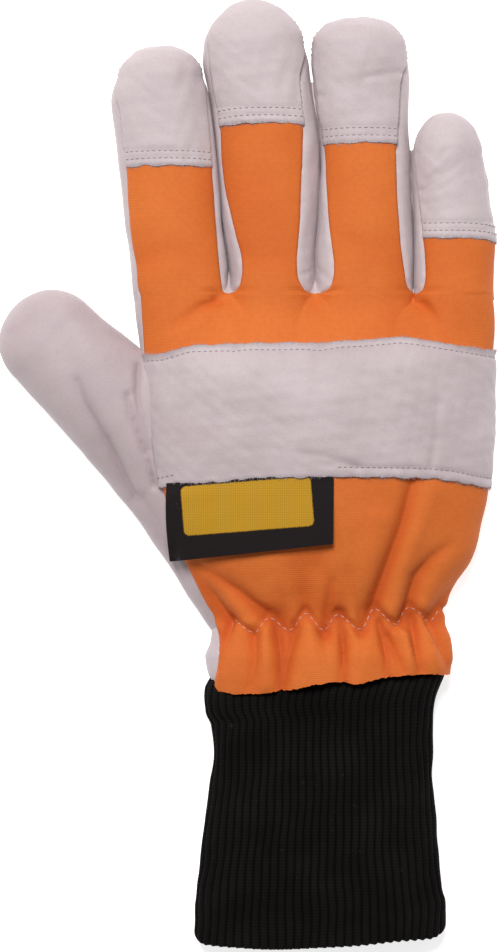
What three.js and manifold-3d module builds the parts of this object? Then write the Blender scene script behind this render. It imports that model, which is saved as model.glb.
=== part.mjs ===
// A protective work glove for the right hand, lying palm down: a leather palm with an orange fabric back,
// leather gussets between the fingers, leather fingertip caps, a knuckle band, a sewn-on label,
// an elastic gather at the wrist and a long ribbed knit cuff.
// Millimetres. +X points to the little finger, +Y to the fingertips and +Z away from the palm.
// The origin is the middle of the glove's base, on the surface that it lies on.
import * as THREE from "three";
import { mergeVertices } from "three/addons/utils/BufferGeometryUtils.js";
import Module from "manifold-3d";

const wasm = await Module();
wasm.setup();

// Driving sizes
const palmWidth = 118.5;
const palmLength = 132;
const palmHeight = 33;
const indexLength = 76.8;
const middleLength = 92.3;
const ringLength = 86.7;
const littleLength = 55.4;
const fingerWidth = 32.6;
const littleWidth = 25.9;
const fingerHeight = 22;
const thumbLength = 54.3;
const thumbWidth = 39;
const thumbHeight = 26;
const cuffLength = 85;
const cuffWidth = 82.5;
const cuffHeight = 21;
const cuffShift = 1.2;

const shellWall = 1.8;
const overlayWall = 1.4;
const knitWall = 3;
const labelWall = 1;
const seamGap = 0.3;
const slitGap = 0.7;

const bandWidth = 44;
const bandHeight = 67;
const capLength = 40.5;
const labelWidth = 54.5;
const labelLength = 24;
const labelAcross = -21;
const labelTurn = 4.8;
const labelLift = 0.9;
const labelFlare = 0.9;

const backSeamHeight = 9;
const palmSeamHeight = 5.5;
const sideSeamInset = 3;
const sideSeamWrap = 6;
const gussetFoot = 2.5;
const pleatDepth = 2.1;
const pleatPitch = 11.6;
const elasticZigzag = 3.3;
const hemTilt = 4.5;
const ribPitch = 2.6;
const ribDepth = 0.9;
const hemBow = 2;

// How round each section is: 2 is an ellipse, and more is squarer
const backRoundness = 2.3;
const fingerRoundness = 2.5;
const floorRoundness = 2.8;
const tipRoundness = 2.2;
const cuffRoundness = 2.4;
// Share of a section's height where it is widest, and how far its underside is pressed flat
const bodyWaist = 0.38;
const fingerWaist = 0.45;
const pressedFlat = 0.07;
// Height of the leather between two finger roots, as a share of the fingers'
const crotchHeight = 0.62;

// Share of the outside's steps that the inside is made with
const insideDetail = 0.5;
const cutTolerance = 0.12;
const mergeDistance = 0.01;
const topSteps = 32;
const floorSteps = 10;
const fingerSteps = 16;
const thumbSteps = 20;
const thumbInsideSteps = 14;

// How far the cutting regions reach below and above the glove, and past its hem
const lowEnd = -0.15 * palmHeight;
const highEnd = 1.6 * palmHeight;
const hemReach = 0.06 * palmLength;

// Rows of a table as objects with its columns' names
const table = (columns, rows) =>
  rows.map((row) => Object.fromEntries(columns.map((column, i) => [column, row[i]])));

// Palm sections from the hem to the finger roots. y is a share of palmLength, left and right are shares of
// palmWidth from the middle, height is a share of palmHeight. fingers is how far the section has taken
// the fingers' rounded tops, upperPleat and lowerPleat are shares of pleatDepth, tilt of the hem's tilt
// and zigzag of the elastic's.
const bodyRows = table(
  ["y", "left", "right", "height", "fingers", "upperPleat", "lowerPleat", "tilt", "zigzag"],
  [
    [0, -0.3125, 0.367, 0.69, 0, 0, 0.85, 1, 0],
    [0.06, -0.3155, 0.381, 0.7, 0, 0, 1, 0.9, 0.25],
    [0.115, -0.295, 0.373, 0.66, 0, 0, 0.7, 0.75, 0.8],
    [0.152, -0.298, 0.367, 0.62, 0, 0, 0, 0.65, 1],
    [0.19, -0.321, 0.371, 0.66, 0, 0.75, 0, 0.55, 0.8],
    [0.245, -0.363, 0.395, 0.755, 0, 1, 0, 0.4, 0.25],
    [0.32, -0.4185, 0.436, 0.87, 0, 0.65, 0, 0.2, 0],
    [0.41, -0.44, 0.461, 0.965, 0, 0.25, 0, 0, 0],
    [0.52, -0.474, 0.474, 1, 0, 0, 0, 0, 0],
    [0.66, -0.5, 0.487, 0.95, 0, 0, 0, 0, 0],
    [0.8, -0.504, 0.489, 0.855, 0, 0, 0, 0, 0],
    [0.885, -0.502, 0.497, 0.775, 0.12, 0, 0, 0, 0],
    [0.935, -0.503, 0.495, 0.715, 0.38, 0, 0, 0, 0],
    [0.972, -0.503, 0.49, 0.67, 0.72, 0, 0, 0, 0],
    [1, -0.5, 0.484, 0.64, 1, 0, 0, 0, 0],
  ],
);

// Fingers from the crotch line. rootX is a share of palmWidth, lean and bend are sideways shares of the
// length, the widths are shares of the finger's width, the seams are shares of it in from either side.
const fingerColumns = ["name", "length", "width", "rootX", "lean", "bend"];
const fingers = table(
  [...fingerColumns, "rootWidth", "midWidth", "tipWidth", "leftSeam", "rightSeam"],
  [
    ["index", indexLength, fingerWidth, -0.378, -0.108, 0.007, 0.97, 0.985, 0.99, 0.055, 0.07],
    ["middle", middleLength, fingerWidth, -0.122, 0.025, -0.118, 0.88, 0.985, 1.02, 0.03, 0.16],
    ["ring", ringLength, fingerWidth, 0.136, 0.05, -0.09, 0.99, 0.96, 0.98, 0.045, 0.14],
    ["little", littleLength, littleWidth, 0.384, -0.07, 0, 1.0, 0.92, 0.83, 0.1, -0.12],
  ],
);
const fingerStations = [0.12, 0.3, 0.48, 0.66];
const rootOverlap = 8;
const rootOpening = 12;
const tipAngles = [0, 28, 50, 68, 82];

// Leather forks that show at the finger crotches: width and length are shares of fingerWidth,
// and depth is how far each reaches below the crotch line, as a share of palmLength.
const crotches = [
  { name: "index_middle", width: 0.2, depth: 0.03, length: 1.25 },
  { name: "middle_ring", width: 0.34, depth: 0.03, length: 1.35 },
  { name: "ring_little", width: 0.23, depth: 0.043, length: 1.2 },
];

// Thumb sections from the wrist up to its free part. x and y are shares of palmWidth and palmLength,
// width and height of thumbWidth and thumbHeight. The free part follows as shares of thumbLength.
const thumbRootRows = [
  { x: -0.235, y: 0.15, width: 0.34, height: 0.5 },
  { x: -0.318, y: 0.31, width: 0.5, height: 0.62 },
  { x: -0.418, y: 0.52, width: 0.83, height: 0.74 },
  { x: -0.507, y: 0.664, width: 1.02, height: 0.86 },
];
const thumbFreeRows = [
  { along: 0.27, width: 0.948, height: 0.93 },
  { along: 0.48, width: 0.905, height: 0.94 },
  { along: 0.69, width: 0.863, height: 0.9 },
];
const thumbAngle = 136.3;

// The thumb's seam from its crotch down to the wrist, as shares of palmWidth and palmLength
const thumbSeam = [
  { x: -0.522, y: 0.8875 },
  { x: -0.4825, y: 0.8125 },
  { x: -0.474, y: 0.6625 },
  { x: -0.46, y: 0.5625 },
  { x: -0.41, y: 0.4125 },
  { x: -0.349, y: 0.2625 },
  { x: -0.324, y: 0.2125 },
];

// Folds pressed into the back, from one end to the other. x and y are shares of palmWidth and palmLength,
// width is a share of pleatPitch and depth of pleatDepth.
const folds = [
  { fromX: -0.265, fromY: 0.965, toX: -0.398, toY: 0.895, width: 0.3, depth: 0.8 },
  { fromX: 0.293, fromY: 0.955, toX: 0.365, toY: 0.88, width: 0.3, depth: 0.8 },
  { fromX: -0.253, fromY: 0.14, toX: -0.343, toY: 0.3, width: 0.26, depth: 0.6 },
  { fromX: -0.109, fromY: 0.17, toX: -0.25, toY: 0.3, width: 0.3, depth: 0.7 },
  { fromX: 0.031, fromY: 0.15, toX: 0.042, toY: 0.25, width: 0.26, depth: 0.6 },
  { fromX: 0.156, fromY: 0.23, toX: 0.24, toY: 0.47, width: 0.34, depth: 0.7 },
  { fromX: 0.267, fromY: 0.23, toX: 0.387, toY: 0.42, width: 0.32, depth: 0.7 },
];

// Knit cuff from its end inside the hem down. y is a share of cuffLength, width and height of the cuff's,
// shift of its width, lift of its height, and rib is a share of ribDepth.
const cuffRows = [
  { y: -0.05, width: 0.855, height: 0.72, shift: 0.006, lift: 0.12, rib: 0 },
  { y: 0.004, width: 0.855, height: 0.72, shift: 0.006, lift: 0.12, rib: 0 },
  { y: 0.014, width: 0.985, height: 1.05, shift: 0.012, lift: 0, rib: 0.5 },
  { y: 0.11, width: 0.895, height: 0.92, shift: -0.002, lift: 0, rib: 1 },
  { y: 0.17, width: 0.872, height: 0.86, shift: 0.006, lift: 0, rib: 1 },
  { y: 0.9, width: 0.99, height: 0.82, shift: 0, lift: 0, rib: 1 },
  { y: 0.972, width: 0.975, height: 0.79, shift: -0.004, lift: 0, rib: 1 },
  { y: 1.0, width: 0.93, height: 0.68, shift: -0.006, lift: 0.02, rib: 1 },
];
const cuffEndTilt = 1.2;

// The band's and the caps' cut edges are a little wavy: shares of the band's width, left to right
const bandTopWave = [-0.1, -0.03, 0.0, 0.005, 0.02, 0.05, 0.04, -0.02];
const bandFootWave = [-0.03, -0.01, 0.02, 0.05, 0.05, 0.05, 0.02, -0.05];
const capWave = [-0.02, 0.012, 0.03, 0.035, 0.02, -0.02];

const radians = THREE.MathUtils.degToRad;
const lerp = THREE.MathUtils.lerp;

// Solids from rings, outlines and sheets
function manifoldOf(points, triangles) {
  const vertProperties = new Float32Array(points.flatMap((p) => [p.x, p.y, p.z]));
  const triVerts = new Uint32Array(triangles);
  return new wasm.Manifold(new wasm.Mesh({ numProp: 3, vertProperties, triVerts }));
}

// Flat faces over a ring of points, as index triples that run round the ring in the given sense.
function capFaces(ring, forwards) {
  const across = ring[Math.floor(ring.length / 2)].clone().sub(ring[0]).setZ(0).normalize();
  const contour = ring.map((p) => new THREE.Vector2(p.dot(across), p.z));
  const faces = THREE.ShapeUtils.triangulateShape(contour, []);
  const edge = faces.find((f) => f.some((a, i) => f[(i + 1) % 3] === (a + 1) % ring.length));
  return Boolean(edge) === forwards ? faces : faces.map(([a, b, c]) => [a, c, b]);
}

// Joins rings of points, each with the same count, into a closed solid with a flat face at either end.
function loft(rings) {
  const count = rings[0].length;
  const points = rings.flat();
  const triangles = [];
  for (let r = 0; r + 1 < rings.length; r++) {
    for (let i = 0; i < count; i++) {
      const j = (i + 1) % count;
      const [a, b, c, d] = [r * count + i, r * count + j, (r + 1) * count + i, (r + 1) * count + j];
      triangles.push(a, b, d, a, d, c);
    }
  }
  const last = (rings.length - 1) * count;
  triangles.push(...capFaces(rings[0], false).flat());
  triangles.push(...capFaces(rings.at(-1), true).flat().map((i) => last + i));
  const solid = manifoldOf(points, triangles);
  return solid.volume() > 0 ? solid : manifoldOf(points, triangles.reverse());
}

function prism(outline, low, high) {
  const shape = new THREE.Shape(outline.map((p) => new THREE.Vector2(p.x, p.y)));
  const extruded = new THREE.ExtrudeGeometry(shape, { depth: high - low, bevelEnabled: false });
  extruded.deleteAttribute("normal");
  extruded.deleteAttribute("uv");
  const merged = mergeVertices(extruded.translate(0, 0, low), 1e-4);
  const triVerts = new Uint32Array(merged.index.array);
  const vertProperties = merged.attributes.position.array;
  return new wasm.Manifold(new wasm.Mesh({ numProp: 3, vertProperties, triVerts }));
}

const union = (solids) => solids.reduce((sum, solid) => sum.add(solid));
const largestBody = (solid) => solid.decompose().sort((a, b) => b.volume() - a.volume())[0];

// Sections
const arch = (share, roundness) => Math.max(0, 1 - Math.abs(share) ** roundness) ** (1 / roundness);

// Drop of a section's underside from its waist at a share of its half width: 1 is down on the floor,
// where it is pressed flat.
const floorDrop = (share) => Math.min(1, arch(share, floorRoundness) * (1 + pressedFlat));

// Shares of the half width from -1 to 1, closer together towards both sides.
function spread(steps, crowding) {
  return Array.from({ length: steps + 1 }, (_, i) => {
    const even = (2 * i) / steps - 1;
    return lerp(even, -Math.cos((Math.PI * i) / steps), crowding);
  });
}

// A closed ring of a section that stands across a direction in plan. grow is outwards, and taper draws
// the section together towards its waist at a round end.
function sectionRing({ centre, across, halfWidth, height, waist, roundness, steps, grow, taper }) {
  const waistHeight = height * waist;
  const [half, up, down] = [halfWidth + grow, height - waistHeight + grow, waistHeight + grow];
  const [wide, tall] = taper;
  const place = (share, z) => {
    const offset = share * half * wide;
    return new THREE.Vector3(centre.x + across.x * offset, centre.y + across.y * offset, z);
  };
  const top = spread(steps / 2, 0.85).map((s) => place(s, waistHeight + up * tall * arch(s, roundness)));
  const under = spread(steps / 2, 0.85).slice(1, -1).reverse();
  return [...top, ...under.map((s) => place(s, waistHeight - down * tall * floorDrop(s)))];
}

// The round end of a finger or thumb, as sections at a few angles
function endStations(radius) {
  return tipAngles.map((degrees) => {
    const advance = Math.sin(radians(degrees));
    return { advance: radius * advance, taper: [arch(advance, tipRoundness), arch(advance, 2.6)] };
  });
}

// Fingers
const fingerX = (f, t) => f.rootX * palmWidth + f.length * (f.lean * t + f.bend * t * t);
function fingerHalfWidth(f, t) {
  const lower = lerp(f.rootWidth, f.midWidth, Math.max(0, t) / 0.45);
  const upper = lerp(f.midWidth, f.tipWidth, (t - 0.45) / 0.55);
  const share = t < 0.45 ? lower : upper;
  return (f.width * share) / 2;
}
const fingerTopHeight = (t) => fingerHeight * (1 - (t > 0 ? 0.14 * t : -0.5 * t));
const tipRadius = (f) => (f.width * f.tipWidth) / 2;

function fingerSolid(f, grow) {
  const radius = tipRadius(f);
  const straight = 1 - radius / f.length;
  const ringAt = (t, taper) =>
    sectionRing({
      centre: { x: fingerX(f, t), y: palmLength + f.length * t },
      across: new THREE.Vector2(1, -(f.lean + 2 * f.bend * t)).normalize(),
      halfWidth: fingerHalfWidth(f, Math.min(t, straight)),
      height: fingerTopHeight(t),
      waist: fingerWaist,
      roundness: fingerRoundness,
      steps: grow < 0 ? fingerSteps * insideDetail : fingerSteps,
      grow,
      taper,
    });
  const root = -(grow < 0 ? rootOpening : rootOverlap) / f.length;
  const rings = [root, ...fingerStations.filter((t) => t < straight - 0.05)].map((t) => ringAt(t, [1, 1]));
  const ends = endStations(radius + grow);
  rings.push(...ends.map((end) => ringAt(straight + end.advance / f.length, end.taper)));
  return loft(rings);
}

// Where the slit between two fingers is, at a height in plan
const slitX = (k, y) => {
  const edge = (f, side) => {
    const t = (y - palmLength) / f.length;
    return fingerX(f, t) + side * fingerHalfWidth(f, t);
  };
  return (edge(fingers[k], 1) + edge(fingers[k + 1], -1)) / 2;
};

// Palm and back
const pleatPhase = (x) => x / pleatPitch + 0.42;
const upperLobe = (x) => Math.abs(Math.sin(Math.PI * pleatPhase(x))) - 0.6;
const lowerLobe = (x) => Math.abs(Math.cos(Math.PI * pleatPhase(x))) - 0.6;

// How far the folds press a place on the back in
function foldDepth(x, y) {
  return folds.reduce((sum, fold) => {
    const from = new THREE.Vector2(fold.fromX * palmWidth, fold.fromY * palmLength);
    const along = new THREE.Vector2(fold.toX * palmWidth, fold.toY * palmLength).sub(from);
    const offset = new THREE.Vector2(x, y).sub(from);
    const share = THREE.MathUtils.clamp(offset.dot(along) / along.lengthSq(), 0, 1);
    const distance = offset.addScaledVector(along, -share).length() / (fold.width * pleatPitch);
    return sum + fold.depth * pleatDepth * (1 - 0.6 * share) * Math.exp(-distance * distance);
  }, 0);
}

// Height of the fingers' tops, side by side, at a place across the crotch line
function fingerTops(x) {
  const nearest = Math.min(1, ...fingers.map((f) => Math.abs(x - fingerX(f, 0)) / fingerHalfWidth(f, 0)));
  const rise = arch(Math.min(1, nearest * 1.15), fingerRoundness);
  return fingerHeight * Math.max(crotchHeight, fingerWaist + (1 - fingerWaist) * rise) - 1.2;
}

// Shares of the back's half width, with one at each finger crotch
function topShares(steps) {
  const front = bodyRows.at(-1);
  const shares = spread(steps, 0.3);
  crotches.forEach((_, k) => {
    const crotch = (2 * slitX(k, palmLength)) / palmWidth - front.left - front.right;
    const distances = shares.map((share) => Math.abs(share - crotch));
    shares[distances.indexOf(Math.min(...distances))] = crotch;
  });
  return shares;
}

function bodyRing(row, grow) {
  const [left, right] = [row.left * palmWidth - grow, row.right * palmWidth + grow];
  const [middle, half] = [(left + right) / 2, (right - left) / 2];
  const height = row.height * palmHeight;
  const waist = lerp(height * bodyWaist, fingerHeight * fingerWaist, row.fingers);
  const wristHalf = ((bodyRows[3].right - bodyRows[3].left) * palmWidth) / 2;
  const inside = grow < 0;
  const zigzag = inside ? 0 : row.zigzag * elasticZigzag;
  const tilt = row.tilt * Math.tan(radians(hemTilt));
  const yAt = (x, turn) => row.y * palmLength + tilt * x + zigzag * turn;
  const press = (x, y, pleatX) => {
    if (inside) return pleatDepth * (row.upperPleat + row.lowerPleat);
    const pleat = row.upperPleat * upperLobe(pleatX) + row.lowerPleat * lowerLobe(pleatX);
    return foldDepth(x, y) - pleatDepth * pleat;
  };
  const top = topShares(inside ? topSteps * insideDetail : topSteps).map((share) => {
    const x = middle + share * half;
    const pleatX = share * wristHalf;
    const y = yAt(x, Math.cos(2 * Math.PI * pleatPhase(pleatX)));
    const rise = arch(share, backRoundness);
    const shaped = lerp(waist + (height - waist) * rise, fingerTops(x), row.fingers);
    return new THREE.Vector3(x, y, shaped + (grow - press(x, y, pleatX)) * Math.sqrt(rise));
  });
  const under = spread(floorSteps, 0.6).slice(1, -1).reverse();
  const floor = under.map((share) => {
    const x = middle + share * half;
    return new THREE.Vector3(x, yAt(x, -1), waist - (waist + grow) * floorDrop(share));
  });
  return [...top, ...floor];
}

// The palm's solid. reach lengthens its open end past the hem.
function bodySolid(grow, reach) {
  const rings = bodyRows.map((row) => bodyRing(row, grow));
  if (grow < 0) rings[rings.length - 1] = rings.at(-1).map((p) => new THREE.Vector3(p.x, p.y + grow, p.z));
  if (reach > 0) rings.unshift(rings[0].map((p) => new THREE.Vector3(p.x, p.y - reach, p.z)));
  return loft(rings);
}

// Thumb
function thumbSolid(grow) {
  const direction = new THREE.Vector2(Math.cos(radians(thumbAngle)), Math.sin(radians(thumbAngle)));
  const rootAt = (row) => new THREE.Vector2(row.x * palmWidth, row.y * palmLength);
  const base = rootAt(thumbRootRows.at(-1));
  const freeAt = (row) => base.clone().addScaledVector(direction, row.along * thumbLength);
  const last = thumbFreeRows.at(-1);
  const stations = [
    ...thumbRootRows.map((row) => ({ ...row, centre: rootAt(row), taper: [1, 1] })),
    ...thumbFreeRows.map((row) => ({ ...row, centre: freeAt(row), taper: [1, 1] })),
  ];
  const reach = thumbLength * (1 - last.along) + grow;
  for (const end of endStations(reach).slice(1)) {
    const centre = base.clone().addScaledVector(direction, last.along * thumbLength + end.advance);
    stations.push({ ...last, centre, taper: end.taper });
  }
  const rings = stations.map((s, i) => {
    const before = stations[Math.max(0, i - 1)].centre;
    const after = stations[Math.min(stations.length - 1, i + 1)].centre;
    const along = after.clone().sub(before).normalize();
    return sectionRing({
      centre: s.centre,
      across: new THREE.Vector2(along.y, -along.x),
      halfWidth: (s.width * thumbWidth) / 2,
      height: s.height * thumbHeight,
      waist: fingerWaist,
      roundness: fingerRoundness,
      steps: grow < 0 ? thumbInsideSteps : thumbSteps,
      grow,
      taper: s.taper,
    });
  });
  return loft(rings);
}

// Slits between the fingers, from the palm's front up past the shorter finger
function slit(k) {
  const top = palmLength + Math.min(fingers[k].length, fingers[k + 1].length);
  const heights = Array.from({ length: 7 }, (_, i) => lerp(palmLength + slitGap, top, i / 6));
  const side = (sign) => heights.map((y) => new THREE.Vector2(slitX(k, y) + (sign * slitGap) / 2, y));
  return prism([...side(1), ...side(-1).reverse()], lowEnd, highEnd);
}

// The whole glove without its overlays, as a thin shell
const form = (grow, reach) =>
  union([bodySolid(grow, reach), thumbSolid(grow), ...fingers.map((f) => fingerSolid(f, grow))]);
const slits = union(crotches.map((_, k) => slit(k)));
const shell = form(0, 0).subtract(slits).subtract(form(-shellWall, hemReach));

// Where each panel lies, in plan
function fingerPatch(f, grow) {
  const radius = tipRadius(f);
  const straight = 1 - radius / f.length;
  const stations = [-0.3, 0, 0.25, 0.5, straight - 0.2, straight - 0.1, straight, straight + 0.1, 1.1];
  const side = (sign, seam) =>
    stations.map((t) => {
      const opened = THREE.MathUtils.smoothstep(t, straight - 0.22, straight + 0.1);
      const inset = lerp(seam, -0.06, opened) * f.width;
      const half = fingerHalfWidth(f, Math.min(t, straight)) - inset + grow;
      return new THREE.Vector2(fingerX(f, Math.min(t, straight)) + sign * half, palmLength + f.length * t);
    });
  const outline = [...side(1, f.rightSeam), ...side(-1, f.leftSeam).reverse()];
  return prism(outline, backSeamHeight - grow, highEnd);
}

function crotchFork(k, grow) {
  const { width, depth, length } = crotches[k];
  const foot = palmLength - depth * palmLength;
  const [halfWidth, reach] = [(width * fingerWidth) / 2 - grow, length * fingerWidth];
  const profile = [0, 0.05, 0.14, 0.26, 0.42, 0.7, 1];
  const widths = [0, 0.55, 0.88, 1, 0.9, 0.45, 0.05];
  const side = (sign) =>
    profile.map((p, i) => {
      const y = foot + grow + p * reach;
      return new THREE.Vector2(slitX(k, Math.max(y, palmLength)) + sign * halfWidth * widths[i], y);
    });
  return prism([...side(1), ...side(-1).slice(1).reverse()], lowEnd, highEnd);
}

function bodyPatch(grow) {
  const rows = bodyRows.filter((row) => row.y < 0.97);
  const tiltAt = (row, x) => row.tilt * Math.tan(radians(hemTilt)) * x;
  const left = rows.map((row) => {
    const x = row.left * palmWidth + sideSeamInset - grow;
    return new THREE.Vector2(x, row.y * palmLength + tiltAt(row, x));
  });
  const right = rows.map((row) => {
    const x = row.right * palmWidth + sideSeamWrap;
    return new THREE.Vector2(x, row.y * palmLength + tiltAt(row, x));
  });
  left[0].y -= hemReach;
  right[0].y -= hemReach;
  const front = palmLength * 0.995;
  const frontLeft = new THREE.Vector2(left.at(-1).x, front);
  const frontRight = new THREE.Vector2(right.at(-1).x, front);
  return prism([...right, frontRight, frontLeft, ...left.reverse()], backSeamHeight - grow, highEnd);
}

function backRegion(grow) {
  const patches = union([bodyPatch(grow), ...fingers.map((f) => fingerPatch(f, grow))]);
  return patches.subtract(union(crotches.map((_, k) => crotchFork(k, grow))));
}

function gussetRegion(k, grow) {
  const [a, b] = [fingers[k], fingers[k + 1]];
  const foot = palmLength * (1 - crotches[k].depth) - gussetFoot - grow;
  const reachOf = (f) => 1 - tipRadius(f) / f.length + 0.06;
  const side = (f, sign) =>
    [0, 0.3, 0.6, reachOf(f)].map((t) => {
      const y = palmLength + f.length * t + (t > 0.6 ? grow : 0);
      return new THREE.Vector2(fingerX(f, t) + sign * grow, y);
    });
  const leftSide = side(a, -1);
  const rightSide = side(b, 1);
  const slitTop = slitX(k, palmLength) - leftSide[0].x;
  leftSide.unshift(new THREE.Vector2(leftSide[0].x + slitTop * 0.35, foot));
  rightSide.unshift(new THREE.Vector2(rightSide[0].x - slitTop * 0.35, foot));
  const notchHeight = palmLength + Math.min(a.length, b.length) * 0.99;
  const notch = new THREE.Vector2(slitX(k, palmLength + a.length * 0.5), notchHeight);
  const above = notch.y < Math.min(leftSide.at(-1).y, rightSide.at(-1).y) ? [notch] : [];
  return prism([...rightSide, ...above, ...leftSide.reverse()], palmSeamHeight - grow, highEnd);
}

function thumbRegion(grow) {
  const seam = thumbSeam.map((p) => new THREE.Vector2(p.x * palmWidth + grow, p.y * palmLength));
  const far = -palmWidth * 1.4 - thumbLength;
  const foot = seam.at(-1).y - grow;
  seam.at(-1).y = foot;
  const corners = [
    new THREE.Vector2(far, foot - hemReach),
    new THREE.Vector2(far, palmLength * 1.25),
    new THREE.Vector2(-0.58 * palmWidth, palmLength * 1.1),
  ];
  return prism([...seam, ...corners], lowEnd, highEnd);
}

// Panels of the shell
const backPanel = shell.intersect(backRegion(0)).subtract(thumbRegion(seamGap));
const gussets = crotches.map((_, k) => shell.intersect(gussetRegion(k, 0)).subtract(backRegion(seamGap)));
const thumb = shell.intersect(thumbRegion(0)).subtract(backRegion(seamGap));
const gussetRegions = union(crotches.map((_, k) => gussetRegion(k, seamGap)));
const palm = shell.subtract(backRegion(seamGap)).subtract(thumbRegion(seamGap)).subtract(gussetRegions);

// Overlays on the back: fingertip caps and the knuckle band
function wavyLine(waves, fromX, toX, y, scale) {
  const last = waves.length - 1;
  return waves.map((wave, i) => new THREE.Vector2(lerp(fromX, toX, i / last), y + wave * scale));
}

function fingertipCap(f) {
  const layer = fingerSolid(f, seamGap + overlayWall).subtract(fingerSolid(f, seamGap));
  const tip = palmLength + f.length;
  const reach = f.width;
  const [middle, end] = [fingerX(f, 0.5), fingerX(f, 1)];
  const edge = wavyLine(capWave, middle - reach, middle + reach, tip - capLength, capLength);
  edge.push(new THREE.Vector2(end + reach, tip + reach), new THREE.Vector2(end - reach, tip + reach));
  const beyond = prism(edge, lowEnd, highEnd);
  const neighbours = fingers.filter((other) => other !== f).map((other) => fingerSolid(other, seamGap));
  const patch = layer.intersect(fingerPatch(f, 0)).intersect(beyond);
  return patch.subtract(union([...neighbours, slits, crotchForks]));
}

const crotchForks = union(crotches.map((_, k) => crotchFork(k, 0)));
const caps = fingers.map(fingertipCap);

function knuckleBand() {
  const layer = form(seamGap + overlayWall, 0).subtract(form(seamGap, 0));
  const [fromX, toX] = [-palmWidth * 0.55, palmWidth * 0.55];
  const top = wavyLine(bandTopWave, fromX, toX, bandHeight + bandWidth, bandWidth);
  const foot = wavyLine(bandFootWave, fromX, toX, bandHeight, bandWidth);
  const region = prism([...foot, ...top.reverse()], lowEnd, highEnd).intersect(bodyPatch(0));
  return layer.intersect(region).subtract(thumbRegion(seamGap));
}

// Height of the back's outer surface at a place in plan
function backHeight(x, y) {
  const rows = bodyRows;
  const share = y / palmLength;
  const upper = Math.max(1, rows.findIndex((row) => row.y >= share));
  const [low, high] = [rows[upper - 1], rows[upper]];
  const t = (share - low.y) / (high.y - low.y);
  const across = (row) => {
    const [left, right] = [row.left * palmWidth, row.right * palmWidth];
    const at = THREE.MathUtils.clamp((2 * x - left - right) / (right - left), -0.86, 0.86);
    const waist = row.height * palmHeight * bodyWaist;
    const wristHalf = ((bodyRows[3].right - bodyRows[3].left) * palmWidth) / 2;
    const pleat = Math.max(0, pleatDepth * row.upperPleat * upperLobe(at * wristHalf));
    return waist + (row.height * palmHeight - waist) * arch(at, backRoundness) + pleat;
  };
  return lerp(across(low), across(high), t);
}

// A loose label whose top edge is at the band and whose foot stands a little off the back
function labelSolid() {
  const [across, down] = [10, 4];
  const top = [];
  for (let j = 0; j <= down; j++) {
    for (let i = 0; i <= across; i++) {
      const x = labelAcross + (i / across - 0.5) * labelWidth;
      const foot = bandHeight - labelLength * (j / down);
      const y = foot + Math.tan(radians(labelTurn)) * (x - labelAcross) * (0.35 + (0.65 * j) / down);
      top.push(new THREE.Vector3(x, y, backHeight(x, y) + labelLift + (labelFlare * j) / down));
    }
  }
  const count = top.length;
  const points = [...top.map((p) => new THREE.Vector3(p.x, p.y, p.z + labelWall)), ...top];
  const triangles = [];
  const wide = across + 1;
  for (let j = 0; j < down; j++) {
    for (let i = 0; i < across; i++) {
      const a = j * wide + i;
      triangles.push(a, a + wide, a + 1, a + 1, a + wide, a + wide + 1);
      const b = count + a;
      triangles.push(b, b + 1, b + wide, b + 1, b + wide + 1, b + wide);
    }
  }
  const rim = [];
  for (let i = 0; i < across; i++) rim.push(i);
  for (let j = 0; j < down; j++) rim.push(j * wide + across);
  for (let i = across; i > 0; i--) rim.push(down * wide + i);
  for (let j = down; j > 0; j--) rim.push(j * wide);
  rim.forEach((a, n) => {
    const b = rim[(n + 1) % rim.length];
    triangles.push(a, b, count + a, b, count + b, count + a);
  });
  const solid = manifoldOf(points, triangles);
  return solid.volume() > 0 ? solid : manifoldOf(points, triangles.reverse());
}

// Knit cuff
function evenRing(ring, count) {
  const closed = [...ring, ring[0]];
  const lengths = [0];
  for (let i = 1; i < closed.length; i++) {
    lengths.push(lengths[i - 1] + closed[i].distanceTo(closed[i - 1]));
  }
  return Array.from({ length: count }, (_, n) => {
    const at = (lengths.at(-1) * n) / count;
    const i = Math.max(1, lengths.findIndex((length) => length > at));
    return closed[i - 1].clone().lerp(closed[i], (at - lengths[i - 1]) / (lengths[i] - lengths[i - 1]));
  });
}

function cuffRing(row, grow, count, ribbed) {
  const centre = { x: cuffShift + row.shift * cuffWidth, y: 0 };
  const height = row.height * cuffHeight;
  const half = (row.width * cuffWidth) / 2;
  const smooth = sectionRing({
    centre,
    across: { x: 1, y: 0 },
    halfWidth: half,
    height,
    waist: 0.45,
    roundness: cuffRoundness,
    steps: 48,
    grow,
    taper: [1, 1],
  });
  const middle = new THREE.Vector3(centre.x, 0, height * 0.45);
  const tilt = lerp(hemTilt, cuffEndTilt, Math.max(0, row.y));
  return evenRing(smooth, count).map((p, n) => {
    const depth = ribbed && n % 2 ? ribDepth * row.rib : 0;
    const outwards = p.clone().sub(middle).normalize();
    const pressed = p.z < 0.2 ? new THREE.Vector3(0, 0, depth) : outwards.multiplyScalar(-depth);
    const bow = hemBow * row.y * (1 - Math.min(1, Math.abs(p.x - centre.x) / half) ** 2);
    const y = -seamGap - row.y * cuffLength - bow + Math.tan(radians(tilt)) * p.x;
    return p.add(pressed).set(p.x, y, p.z + row.lift * cuffHeight);
  });
}

function knitCuff() {
  const ribs = Math.round((cuffWidth * 2 + cuffHeight * 0.5) / ribPitch / 2) * 2;
  const outside = loft(cuffRows.map((row) => cuffRing(row, 0, ribs * 2, true)));
  const plainRows = cuffRows.filter((_, i) => i !== 3);
  const insideRows = [{ ...cuffRows[0], y: -0.1 }, ...plainRows, { ...cuffRows.at(-1), y: 1.05 }];
  return outside.subtract(loft(insideRows.map((row) => cuffRing(row, -knitWall, ribs / 2, false))));
}

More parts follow.
